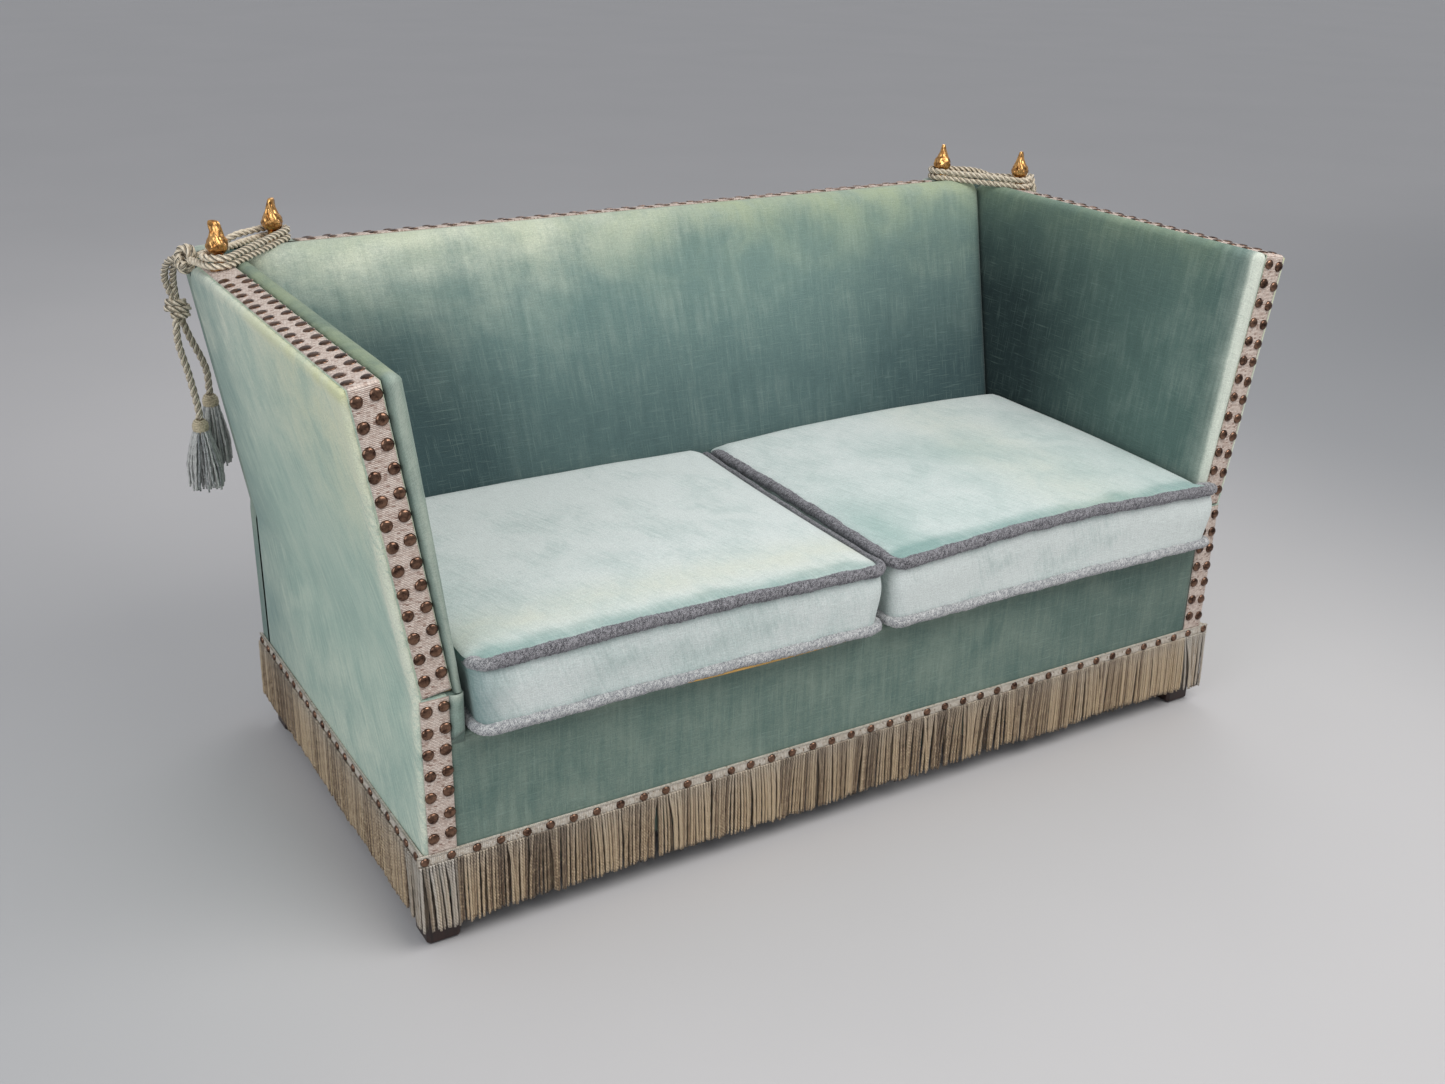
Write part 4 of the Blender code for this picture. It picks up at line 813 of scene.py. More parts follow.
def build_rope(side, sign, rope, tassel, head):
    """The rope of one side: its winding, both knots, and two hanging ends with their tassels."""
    arm = side + "_arm"
    fineness = 0.0022
    pitch = 0.037
    settings = {"pitch": pitch, "around": 18, "tone": 0.5}
    thick = rope_radius * 1.04
    winding = resample(curve_through(rope_winding(side, sign), 6), fineness)
    builder = Builder()
    steps = np.arange(len(winding))
    loose = 1 + 0.035 * np.sin(steps * 0.11) + 0.025 * np.sin(steps * 0.37)
    twisted(builder, winding, rope_radius * 1.08 * loose, pitch=pitch, around=24, tone=0.5)
    piece = builder.make(side + "_rope", rope, "rope", arm, side + "_rope_winding")

    upper = on_side(sign, upper_knots[side])
    lower = on_side(sign, lower_knots[side])
    fall = lower - upper
    spread = fall.cross(Vector((sign, 0, 0))).cross(fall).normalized() * strand_offset
    knots = Builder()
    run = (-sign * 0.80, 0.60, 0.0)
    collar_at = upper + fall.normalized() * 0.0165
    lap = 0.0112
    loops_at = upper + Vector((0, 0, 0.001))
    loops = coil(loops_at, run, (0, 0, 1), 0.0165, 0.0105, turns=2.0, step=lap, start=2.2)
    collar = coil(collar_at, fall, (1, 0, 0), 0.0128, 0.0100, turns=1.35, step=0.0080, start=0.5)
    for wrap in (loops, collar):
        twisted(knots, resample(wrap, fineness), thick, **settings)
    for shift in (spread, -spread):
        route = [upper + shift] + [on_side(sign, spot) + shift for spot in strand_routes[side]]
        way = (route[-1] - lower).normalized()
        route += [lower + way * (lower_knot_radius * 0.5)]
        twisted(knots, resample(curve_through(route), fineness), rope_radius * 1.12, **settings)
    knotted = knots.make(side + "_upper_knot_rope", rope, "rope", arm, side + "_upper_knot")

    bands = Builder()
    slant = Vector((sign * 0.22, 0, -1))
    wraps = coil(lower, slant, (1, 0, 0), 0.0178, 0.0108, turns=2.35, step=lap, start=0.4)
    twisted(bands, resample(wraps, fineness), thick, **settings)
    half_plug = slant.normalized() * 0.015
    plug = resample(curve_through([lower - half_plug, lower, lower + half_plug]), 0.0025)
    twisted(bands, plug, 0.0095, pitch=0.03, around=14, tone=0.4, shade=0.3)
    lower_piece = bands.make(side + "_lower_knot_rope", rope, "rope", arm, side + "_lower_knot")

    for number, (end, tail) in enumerate(tail_routes[side].items()):
        route = [on_side(sign, spot) for spot in tail]
        bottom = route[-1]
        way = (route[0] - lower).normalized()
        reach = lower_knot_radius + gap
        route = [lower + way * reach, lower + way * (reach + 2 * rope_radius)] + route
        route.insert(-1, bottom + Vector((0, 0, 2 * rope_radius)))
        path = resample(curve_through(route), fineness)
        tail_builder = Builder()
        twisted(tail_builder, path, tail_radius * 1.02, pitch=0.044, around=24, tone=0.5)
        name = side + "_" + end
        piece_of = tail_builder.make(name + "_tail_rope", rope, "rope", arm, name + "_tail")
        flare_out = 0.0285 if end == "front" else 0.0240
        seed = number + (sign > 0) * 2
        hanging = build_tassel(name + "_tassel", bottom, tassel, head, seed, flare_out, arm)


def build_tassel(name, top, threads, head_paint, seed, flare_out, body):
    """A wrapped turban head over a skirt of twisted cords."""
    chance = random.Random(40 + seed)
    top = np.array(top) - np.array((0, 0, gap))
    head = Builder()
    head_radius = 0.0150
    turns = 7
    t = np.linspace(0, 1, 150)
    for layer in range(3):
        angle = t * math.tau * turns + layer * 0.7
        bulge = np.sqrt(np.clip(1 - ((t - 0.55) / 0.62) ** 2, 0.05, 1)) * (head_radius - 0.0024)
        wander = 0.0018 * np.sin(angle * 3 + layer * 2.1)
        path = resample(round_axis(top, bulge, angle, -0.003 - t * 0.023 + wander), 0.0025)
        tone = 0.35 + 0.25 * layer
        twisted(head, path, 0.0022, plies=2, pitch=0.012, around=6, swell=0.4, tone=tone)
    core_t = np.linspace(0, 1, 9)[:, None]
    core_radius = np.sqrt(np.clip(1 - ((core_t - 0.5) / 0.52) ** 2, 0.02, 1)) * (head_radius - 0.004)
    core = round_axis(top, core_radius, np.arange(14) / 14 * math.tau, -0.002 - core_t * 0.027)
    head.add(core, wrap=True, ends=True, tone=0.2)
    head_piece = head.make(name + "_threads_head", head_paint, "rope", body)

    skirt = Builder()
    neck = top - np.array((0, 0, 0.0225))
    length = 0.1085
    cord_radius = 0.00255
    # The last value of each layer is its painted shade: the inner cords darker.
    layers = ((25, 0.0118, 1.0, 0.0), (15, 0.0075, 0.68, 0.15), (8, 0.0035, 0.32, 0.4))
    share = np.linspace(0, 1, 26)
    for ring_index, (count, neck_radius, foot_share, dark) in enumerate(layers):
        for index in range(count):
            angle = (index + shake(chance, 0.25)) / count * math.tau + ring_index
            own = length * chance.uniform(0.90, 1.02)
            foot = flare_out * foot_share * chance.uniform(0.88, 1.08)
            lean = shake(chance, 0.14)
            out = neck_radius + (foot - neck_radius) * np.minimum(1, share * 1.6) ** 0.8 + 0.0015 * share
            swing = angle + lean * share + 0.04 * np.sin(share * 7 + index)
            radius = cord_radius * chance.uniform(0.92, 1.08) * np.where(share > 0.98, 0.8, 1.0)
            twisted(skirt, round_axis(neck, out, swing, -own * share), radius, plies=2, pitch=0.034, around=8,
                    swell=0.45, start_turn=chance.uniform(0, 6), tone=chance.uniform(0, 1), shade=dark)
    skirt_piece = skirt.make(name + "_threads", threads, "tassel", body, name)
    return [skirt_piece, head_piece]


# Velvet of the arms and sides

def build_outer(side, sign, fabric):
    """The outer fabric, in one piece from the underside of the frame over the crease to the arm's top."""
    height = crease_height - base_bottom + arm_height
    rounding = 0.0085
    fold_half = 0.012
    profile = [(0.0002, -0.0135), (0, -0.0100)] + arc_profile(0, 0, rounding)
    u, v, level, rim = pillow(arm_depth, height, (0, 0.004, 0, arm_corner), profile, (76, 84))
    up = v + base_bottom - crease_height
    rearward, upward = u / arm_depth, v / height
    swell = 0.0012 * hump(rearward) * hump(upward)
    wave = cloud_on(u, v, 0.16, sign + 3) * 0.0009
    inward = -level - np.where(rim > 0.012, swell + wave, 0)
    fold = smoothstep(-fold_half, fold_half, up)[..., None]
    on_arm = arm_place(sign, inward, u, up)
    on_base = side_place(sign, inward, u, up + crease_height)
    grid = on_base * (1 - fold) + on_arm * fold

    # Paler along the front and top edges and towards the foot, and towards the top as a painted highlight of
    # the light from above; painted shade towards the rear and over the lower half.
    front_line = close_to(u, 0.004, 0.012) * (0.45 + 0.75 * close_to(up, 0.20, 0.17))
    near_front = np.exp(-u / 0.030) * smoothstep(-0.10, 0.10, up)
    top_line = close_to(height - v, 0.003, 0.009)
    top_highlight = smoothstep(0.55, 1.0, upward)
    worn = 0.12 + 0.38 * top_highlight + 0.30 * near_front + 0.85 * front_line + 0.80 * top_line
    worn += 0.26 * smoothstep(0.5, 0.0, upward)
    worn += 0.35 * close_to(u, 0.06, 0.06) * smoothstep(0.80, 1.0, upward)
    shade = 0.45 * smoothstep(0.62, 1.0, rearward) + 0.12 * smoothstep(0.55, 0.15, upward)
    warm = 0.42 * top_highlight * smoothstep(0.75, 0.1, rearward)
    warm += 0.55 * top_line * smoothstep(0.9, 0.2, rearward)
    cover = sheet(side + "_outer_velvet", grid, fabric, "velvet_sage",
                  flip=sign > 0, worn=worn, shade=shade, warm=warm)
    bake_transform(cover)
    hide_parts(side + "_arm_cover", side + "_side_cover")


def build_edges(side, sign, fabric, inner_fabric):
    """The fabric under the braid: round the arm's front, top and rear, and the front of the side below.

    Linings cover the side's top and wall, and the frame under the arm's foot.
    """
    start = 0.0105
    slit = 0.0009
    lid_depth = 0.045
    hair = 0.0001
    clear = 0.0006
    fabric_skin = (0.0010, -1)
    turned = arm_corner - hair
    corner_depth, corner_up = arm_depth - arm_corner, arm_height - arm_corner
    path = [(lid_depth, 0.0), (hair, 0.0)]
    path += [(hair, up) for up in np.linspace(clear, arm_height - hair, 30)]
    path += [(depth, arm_height - hair) for depth in np.linspace(hair, corner_depth, 30)[1:]]
    path += [(corner_depth + turned * math.sin(bend), corner_up + turned * math.cos(bend))
             for bend in bends(8)]
    path += [(arm_depth - hair, up) for up in np.linspace(corner_up, clear, 20)[1:]]
    path = np.array(path)
    grid = arm_place(sign, np.linspace(start, arm_core, 6)[None, :], path[:, :1], path[:, 1:])
    grid[..., 2] = np.maximum(grid[..., 2], crease_height + slit)
    sheet(side + "_arm_edges", grid, fabric, "velvet_sage", side + "_arm",
          skin=fabric_skin, flip=sign < 0, worn=0.35, shade=0.1, warm=0.3)

    inner_wall = half_width - inner_half_width
    levels = [(hair, z) for z in np.linspace(base_bottom, crease_height - slit, 26)]
    levels = np.array(levels + [(lid_depth, crease_height - slit)])
    split = side_braid_inset + braid_width - 0.003
    for label, paint, slot, span, worn, rows in (
            ("front", fabric, "velvet_sage", (start, split), 0.2, levels),
            ("inner_front", inner_fabric, "velvet_teal", (split, inner_wall - gap), 0.15, levels[19:])):
        grid = side_place(sign, np.linspace(*span, 6)[None, :], rows[:, :1], rows[:, 1:])
        sheet(side + "_side_" + label, grid, paint, slot, "seat",
              skin=fabric_skin, flip=sign < 0, worn=worn, shade=0.25)

    lining = {"worn": 0.12, "shade": 0.35}
    wall = inner_wall + 0.0004
    path = [(inset, crease_height - slit - 0.0008) for inset in np.linspace(0.041, wall, 6)]
    path += [(wall, z) for z in np.linspace(crease_height - slit - 0.0010, deck_height + 0.001, 8)[1:]]
    path = np.array(path)
    depths = np.linspace(0.0130, 0.600, 40)[:, None]
    grid = side_place(sign, path[None, :, 0], depths, path[None, :, 1])
    sheet(side + "_side_lining", grid, inner_fabric, "velvet_teal", "seat",
          skin=(0.0006, 1), flip=sign < 0, **lining)

    grid = arm_place(sign, np.linspace(0.0415, arm_core + clear, 5)[None, :], depths * 1.30, -0.0005)
    grid[..., 2] = crease_height + 0.0005
    sheet(side + "_arm_foot_lining", grid, inner_fabric, "velvet_teal", side + "_arm",
          skin=(0.0004, 0), flip=sign > 0, **lining)


def build_arm_inner(side, sign, fabric):
    """The padded inner face, rolled over at its front, top and foot."""
    full = arm_thickness_top - arm_core
    foot_thickness = arm_thickness_foot - arm_core
    lip, edge_level = 0.009, 0.013
    roll_inset, roll_rise = 0.016, 0.0175
    profile = [(lip - lip * math.sin(bend), edge_level - edge_level * math.cos(bend))
               for bend in [0.0] + bends(6)]
    profile += [(roll_inset - roll_inset * math.cos(bend), edge_level + roll_rise * math.sin(bend))
                for bend in bends(6)]
    front = -0.0062
    hidden_foot = 0.016
    width = arm_depth - front - 0.0006
    height = arm_height + 0.0040
    u, v, level, rim = pillow(width, height + hidden_foot, (0, 0.012, 0, arm_corner), profile, (60, 44))
    v = v - hidden_foot
    thickness = foot_thickness + (full - foot_thickness) * v / height
    depth = front + u
    inward = arm_core + gap + level * thickness / full
    middle = np.minimum(1, rim / 0.10)
    wave = cloud_on(u, v, 0.13, 5, sign) * 0.0016 * middle
    belly = 0.0022 * hump(v / height) * middle
    inward = inward + np.where(level > 0.02, wave + belly, 0)
    roll_sag = 0.0007 * cloud_on(v * 2.2, u * 0.5, 0.05, 9, 2.0)
    depth = depth + np.where(u < 0.03, roll_sag, 0)
    grid = arm_place(sign, inward, depth, v)
    grid[..., 2] = np.maximum(grid[..., 2], crease_height + 0.0010)

    # Painted shade in the groove beside the braid.
    by_braid = smoothstep(0.010, 0.0, level) * smoothstep(0.02, 0.0, rim)
    top_roll = np.exp(-(height - v) / 0.022) * smoothstep(0.0, 0.03, u)
    # Right arm: the front roll near white as a painted highlight of its nap, and painted shade deepening
    # towards the rear and the foot.
    if sign > 0:
        worn = 1.10 * np.exp(-(np.maximum(u - 0.006, 0) / 0.0055) ** 1.2) + 0.42 * np.exp(-u / 0.032)
        warm = 0.30 * np.exp(-(height - v) / 0.05) * smoothstep(0.03, 0.12, u)
        shade = 0.14 + 0.98 * smoothstep(0.10, 0.66, u) * smoothstep(1.25, 0.35, v / height)
    else:
        # Left arm: a painted highlight along the roll's ridge, and painted shade towards the rear and over
        # the top roll.
        ridge_highlight = close_to(level, 0.017, 0.009) * smoothstep(0.05, 0.02, u)
        worn = 0.28 * ridge_highlight + 0.16 * np.exp(-u / 0.030) + 0.06 * top_roll
        warm = 0.42 * top_roll + 0.08
        shade = 0.06 + 0.32 * smoothstep(0.25, 0.8, u)
    shade = shade * (1 - top_roll) + 0.75 * by_braid + (0.22 * top_roll if sign < 0 else 0)
    pad = sheet(side + "_inner_velvet", grid, fabric, "velvet_teal", side + "_arm", side + "_arm_pad",
                flip=sign < 0, worn=worn, shade=shade, warm=warm)


def build_side_roll(side, sign, fabric):
    """The short roll below the crease, which ends in a slanting fold beside the cushion."""
    outer, inner = 0.0520, half_width - inner_half_width - 0.0004
    foot_low, foot_rise = 0.3500, 0.0120
    top = crease_height - 0.0012
    inward = np.linspace(outer, inner, 15)
    share = (inward - outer) / (inner - outer)
    heights = np.linspace(0, 1, 23)[:, None]
    foot = foot_low + foot_rise * share
    z = foot + (top - foot) * heights
    round_off = hump(share) ** 0.6
    swell = 0.0088 * round_off * np.minimum(1.0, (heights / 0.16) ** 0.6) * (1 - 0.35 * heights ** 6)
    crease = 0.0016 * close_to(heights, 0.62, 0.07)
    grid = side_place(sign, inward, crease * round_off - swell, z)
    worn = 0.18 + 0.35 * smoothstep(0.80, 1.0, heights)
    shade = 0.45 * smoothstep(0.20, 0.0, heights) + 0.55 * smoothstep(0.22, 0.0, share)[None, :]
    sheet(side + "_side_roll", grid, fabric, "velvet_teal", "seat",
          skin=(0.0010, -1), flip=sign < 0, worn=worn, shade=shade, warm=0.05)


# Braids and nails

def nail_heads(builder, spots, radius=nail_radius, height=nail_height, seed=1):
    """Domed heads. Each spot is a place and the way its dome faces."""
    chance = random.Random(seed)
    rings = [(0.97, -0.12), (1.0, 0.05), (0.985, 0.22), (0.92, 0.45), (0.80, 0.66), (0.62, 0.83),
             (0.40, 0.94), (0.15, 0.995)]
    angles = [index / 16 * math.tau for index in range(16)]
    for place, facing in spots:
        tilt = Vector([shake(chance, 0.05) for axis in range(3)])
        turn = (Vector(facing).normalized() + tilt).to_track_quat("Z", "Y").to_matrix()
        own = radius * chance.uniform(0.96, 1.03)
        tone = chance.uniform(0, 1)
        rows = []
        for share, rise in rings:
            row = []
            for angle in angles:
                out = own * share * (1 + 0.02 * math.sin(angle * 3 + tone * 9))
                dome = Vector((out * math.cos(angle), out * math.sin(angle), height * rise))
                row.append(turn @ dome + Vector(place))
            rows.append(row)
        builder.add(rows, wrap=True, ends=True, tone=tone)


def ribbon(builder, path, normals, across, width, thickness, columns=12, **masks):
    """A flat strip with soft edges along a path, closed all round."""
    path, normals = np.asarray(path, float), np.asarray(normals, float)
    across = np.asarray(across, float)
    spots = np.linspace(-0.5, 0.5, columns)
    crown = thickness * (0.86 + 0.14 * np.cos(spots * math.pi))
    crown[0] = crown[-1] = thickness * 0.55
    crown[1] = crown[-2] = thickness * 0.98
    section = [(share * width, high) for share, high in zip(spots, crown)]
    section += [(spots[-1] * width * 0.995, 0.0), (spots[0] * width * 0.995, 0.0)]
    grid = np.array([[point + across * offset + normal * high for offset, high in section]
                     for point, normal in zip(path, normals)])
    along = lengths_along(path)
    u = np.append([offset for offset, _ in section], section[0][0]) + width / 2
    builder.add(grid, wrap=True, ends=True, u=u, v=along, **masks)


def build_arm_braid(side, sign, paint, metal):
    """The braid up the front and along the top of an arm, with its two rows of nails."""
    middle = braid_outer_inset + braid_width / 2
    step = 0.004
    bend_radius = 0.002
    front_level = -gap
    top_level = arm_height + gap
    path = [(front_level, up, (-1, 0)) for up in np.arange(0.0012, arm_height - 0.003, step)]
    for bend in bends(6)[:-1]:
        back, rise = -math.cos(bend), math.sin(bend)
        depth, up = front_level + bend_radius * (1 + back), top_level - bend_radius * (1 - rise)
        path.append((depth, up, (back, rise)))
    path += [(depth, top_level, (0, 1)) for depth in np.arange(0.004, arm_braid_end, step)]
    centre = [arm_place(sign, middle, depth, up) for depth, up, _ in path]
    normals = [arm_place(sign, middle, depth + back, up + rise) - spot
               for (depth, up, (back, rise)), spot in zip(path, centre)]
    inwards = arm_place(sign, middle + 1, 0.0, 0.0) - arm_place(sign, middle, 0.0, 0.0)
    builder = Builder()
    ribbon(builder, centre, normals, inwards, braid_width, braid_thickness)
    builder.make(side + "_arm_braid_strip", paint, "braid", side + "_arm", side + "_arm_braid", orient=True)

    rows = (braid_outer_inset + nail_row_inset, braid_outer_inset + braid_width - nail_row_inset)
    count = int(arm_height / nail_pitch)
    first = arm_height - nail_pitch / 2 - (count - 1) * nail_pitch
    sunk = braid_thickness * 0.9
    facing_up = tuple(arm_place(sign, 0.0, 0.0, 1.0) - arm_place(sign, 0.0, 0.0, 0.0))
    chance = random.Random(11 + sign)
    spots = []
    for index in range(count):
        for row, inset in enumerate(rows):
            up = first + nail_pitch * index + shake(chance, 0.0012) + (0.003 if row == 1 else -0.001)
            up = min(up, arm_height - 0.0105)
            place = arm_place(sign, inset + shake(chance, 0.0008), front_level - sunk, up)
            spots.append((place, (0, -1, 0)))
    level_spots = []
    for index in range(int((arm_finial_depth - 2 * nail_pitch) / nail_pitch) + 1):
        for inset in rows:
            depth = nail_pitch / 2 + nail_pitch * index + shake(chance, 0.0012)
            place = arm_place(sign, inset + shake(chance, 0.0008), depth, top_level + sunk)
            level_spots.append((place, facing_up))
    heads = Builder()
    nail_heads(heads, spots, seed=21 + sign)
    nail_heads(heads, level_spots, height=0.0028, seed=25 + sign)
    heads.make(side + "_arm_nails", metal, "brass", side + "_arm")


def back_top(depth):
    """Height of the back's braided top, which falls towards the rear."""
    return back_top_front - (depth - back_braid_front) * back_top_fall


def build_side_braid(side, sign, paint, metal):
    """The short braid with nails on the front of a side, below the arm's hinge."""
    middle = half_width - side_braid_inset - braid_width / 2
    top = crease_height - 0.0008
    path = [at(sign * middle, -gap, z) for z in np.arange(0.1685, top, 0.004)]
    builder = Builder()
    ribbon(builder, path, [(0, -1, 0)] * len(path), (-sign, 0, 0), braid_width, braid_thickness)
    builder.make(side + "_side_braid_strip", paint, "braid", "seat", side + "_side_braid", orient=True)
    chance = random.Random(31 + sign)
    spots = []
    for index in range(int((top - 0.162) / nail_pitch)):
        for row in (-1, 1):
            x = middle + row * (braid_width / 2 - nail_row_inset) + shake(chance, 0.0008)
            z = top - nail_pitch / 2 - nail_pitch * index + shake(chance, 0.0012)
            z += 0.003 if row < 0 else -0.001
            spots.append((at(sign * x, -gap - braid_thickness * 0.9, z), (0, -1, 0)))
    heads = Builder()
    nail_heads(heads, spots, seed=41 + sign)
    heads.make(side + "_side_nails", metal, "brass", "seat")


def build_back_braid(paint, metal):
    """The braid with nails along the back's top, tilted as the top is."""
    half = 0.690
    middle = back_braid_front + braid_width / 2
    level = back_top(middle) - braid_thickness
    tilt = math.atan(back_top_fall)
    upward = (0, math.sin(tilt), math.cos(tilt))
    rearward = (0, math.cos(tilt), -math.sin(tilt))
    path = [at(x, middle, level) for x in np.arange(-half, half + 0.001, 0.004)]
    builder = Builder()
    ribbon(builder, path, [upward] * len(path), rearward, braid_width, braid_thickness)
    builder.make("back_braid_strip", paint, "braid", "seat", "back_braid", orient=True)
    spots = []
    chance = random.Random(51)
    pitch = 0.0370
    count = int(2 * half / pitch)
    for index in range(count):
        x = -pitch * (count - 1) / 2 + pitch * index
        for row in (-1, 1):
            depth = middle + row * (braid_width / 2 - nail_row_inset) + shake(chance, 0.0007)
            spots.append((at(x + shake(chance, 0.001), depth, back_top(depth) - 0.0004), upward))
    heads = Builder()
    nail_heads(heads, spots, height=0.0026, seed=52)
    heads.make("back_nails", metal, "brass", "seat")


# Back

def pad_rise(height):
    """How far up the back's padding a height is, as a share of its leaning part."""
    return np.clip((height - pad_bend) / (back_height - pad_bend), 0, 1)


def pad_front(height):
    """Depth of the padding's face at a height."""
    foot, bend, top = 0.596, 0.602, 0.757
    low = foot + (bend - foot) * np.clip((height - deck_height) / (pad_bend - deck_height), 0, 1)
    return low + (top - bend) * pad_rise(height)


def pad_half(height):
    """Half the padding's width at a height."""
    slope = (arm_thickness_top - arm_thickness_foot) / arm_height
    return inner_half_width - 0.004 + np.maximum(0, height - crease_height) * (flare - slope)


def build_back_pad(fabric):
    """The back's padded front, rolled over at its sides and top."""
    foot = 0.3405
    height = back_height + 0.0022 - foot
    padding = 0.036
    seam_level = 0.0101
    unit = 1.4660
    rear = 0.8013
    profile = [(0.006, 0.0), (0.0, 0.010)] + arc_profile(0, padding, 0.022, 7)
    u, v, level, rim = pillow(unit, height, (0, 0.030, 0, 0.030), profile, (96, 44))
    z = foot + v
    half = pad_half(z)
    x = (u / unit * 2 - 1) * half
    crown = 0.0095 * np.sin(math.pi * pad_rise(z)) * (1 - (x / half) ** 2)
    wave = cloud_on(x, z, 0.22, 4) * 0.0022 * np.minimum(1, rim / 0.12)
    depth = pad_front(z) + (padding - np.minimum(level, padding))
    depth = np.where(level <= seam_level, rear - (rear - depth) * level / seam_level, depth) - crown - wave
    grid = spots_at(x, depth, z)

    # Paler along the top, over a deeper and more broken band at the left; painted shade low down, along both
    # side edges and over the left and right of the face, fading out near the top.
    down = np.maximum(back_height - z, 0)
    left = smoothstep(0.35, -0.45, x)
    ragged = 0.5 + 1.1 * cloud_on(x * 1.5, z * 3.0, 0.10, 8)
    reach = 0.030 + 0.035 * left
    worn = (0.30 + 0.36 * left) * np.exp(-(down / reach) ** 1.3)
    worn += 0.55 * left * np.exp(-down / 0.085) * np.clip(ragged, 0, 1)
    shade = 0.62 * smoothstep(0.84, 0.52, z) + 0.35 * smoothstep(0.05, 0.0, half - np.abs(x))
    shade += 0.70 * smoothstep(-0.26, -0.64, x) * smoothstep(0.88, 0.72, z)
    shade += 0.34 * smoothstep(0.20, 0.62, x) * smoothstep(0.91, 0.78, z)
    shade = shade * (1 - np.exp(-down / 0.030))
    warm = 0.60 * np.exp(-down / 0.075) * (1.0 - 0.35 * left)
    pad = sheet("back_velvet", grid, fabric, "velvet_teal", "seat", "back_pad",
                worn=worn, shade=shade, warm=warm)


def back_half(height, inset):
    """Half the back's width at a height, less an inset: it widens above the crease as the arms lean."""
    return half_width - inset + np.maximum(0, height - crease_height) * flare


def build_back_side(side, sign, fabric):
    """The fabric over the back's post, which shows when the arm is down."""
    depth = 0.8030
    z = np.linspace(crease_height + 0.001, back_height - 0.0060, 30)[:, None]
    inner = pad_half(z) - 0.012
    x = inner + (back_half(z, 0.0055) - inner) * np.linspace(0, 1, 8)[None, :]
    sheet(side + "_back_side_velvet", spots_at(sign * x, depth, z), fabric, "velvet_teal", "seat",
          skin=(0.0006, -1), flip=sign < 0, worn=0.10, shade=0.30)


def build_back_cover(fabric):
    """The outer fabric of the back: its sides, rounded top corners, top and rear face."""
    height = back_height - base_bottom
    thickness = base_depth - cover_front
    inset = 0.0016
    corner = 0.035
    unit = 1.6132
    profile = [(0.0, -thickness), (0.0, -0.022), (0.0, -0.0065)] + arc_profile(0, 0, 0.0050, 4)
    u, v, level, rim = pillow(unit, height, (0, corner, 0, corner), profile, (84, 50))
    z = base_bottom + v
    half = np.where(z < crease_height - 0.001, half_width, back_half(z, 0.004))
    x = (u / unit * 2 - 1) * half
    wave = cloud_on(x, z, 0.25, 6) * 0.0016 * np.minimum(1, rim / 0.1)
    depth = base_depth + level - inset + wave * (rim > 0.05)
    under_braid = smoothstep(0.705, 0.688, np.abs(x)) * smoothstep(back_height - 0.012, back_height, z)
    lowered = back_top(depth) - braid_thickness - 0.0004
    z = z + (np.minimum(lowered, back_height) - back_height) * under_braid
    worn = 0.12 + 0.35 * np.exp(-np.maximum(back_height - z, 0) / 0.05)
    shade = 0.10 + 0.20 * smoothstep(0.5, 0.1, z)
    sheet("back_outer_velvet", spots_at(x, depth, z), fabric, "velvet_teal", "seat", "back_cover",
          flip=True, worn=worn, shade=shade, warm=0.15)


# Seat front

def build_apron(fabric):
    """The front velvet, turned over the seat's front edge onto the deck."""
    edge = 0.009
    hair = 0.0002
    columns = 120
    split = 33
    path = [(hair, z) for z in np.linspace(base_bottom, deck_height - edge, split + 1)]
    path += [(edge - (edge - hair) * math.cos(bend), deck_height - edge + (edge - hair) * math.sin(bend))
             for bend in bends(7)]
    path += [(depth, deck_height - hair) for depth in np.linspace(edge, 0.060, 8)[1:]]
    path = np.array(path)
    wide = half_width - side_braid_inset - braid_width + 0.003
    builder = Builder()
    for rows, reach in ((path[:split + 1], wide), (path[split:], inner_half_width - gap)):
        across = np.linspace(-reach, reach, columns)
        x, depth, z = np.broadcast_arrays(across[None, :], rows[:, :1], rows[:, 1:])
        wave = cloud(np.stack([x, depth, z], -1), 0.12, 2) * 0.0008 * smoothstep(0.12, 0.2, z)
        # Paler towards the rounded top edge; painted shade under the cushions' front edge and towards the
        # right.
        worn = 0.10 + 0.20 * smoothstep(deck_height - 0.035, deck_height, z)
        shade = 0.12 + 0.45 * smoothstep(0.345, 0.36, z) + 0.30 * smoothstep(0.1, 0.7, x)
        builder.add(spots_at(x, depth - np.maximum(wave, -0.0001), z), u=across, v=rows[:, 1] - rows[:, 0],
                    worn=worn, shade=shade, warm=0.0)
    builder.make("front_velvet", fabric, "velvet_teal", "seat", "front_apron", skin=(0.002, -1))


def build_deck(cloth):
    """The deck's cloth, which the cushions lie on."""
    low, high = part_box("seat_deck")
    profile = [(0.0, -(high.z - low.z) + 0.0004), (0.0, -0.006)] + arc_profile(0, 0, 0.0050, 3)
    u, v, level, rim = pillow(high.x - low.x, high.y - low.y, (0.004,) * 4, profile, (60, 30))
    wave = cloud_on(u, v, 0.09, 12) * 0.0014
    grid = np.stack([low.x + u, low.y + v, high.z + level - 0.0016 + wave * (rim > 0.02)], -1)
    sheet("deck_lining", grid, cloth, "deck_cloth", "seat", "seat_deck")


# Fringe

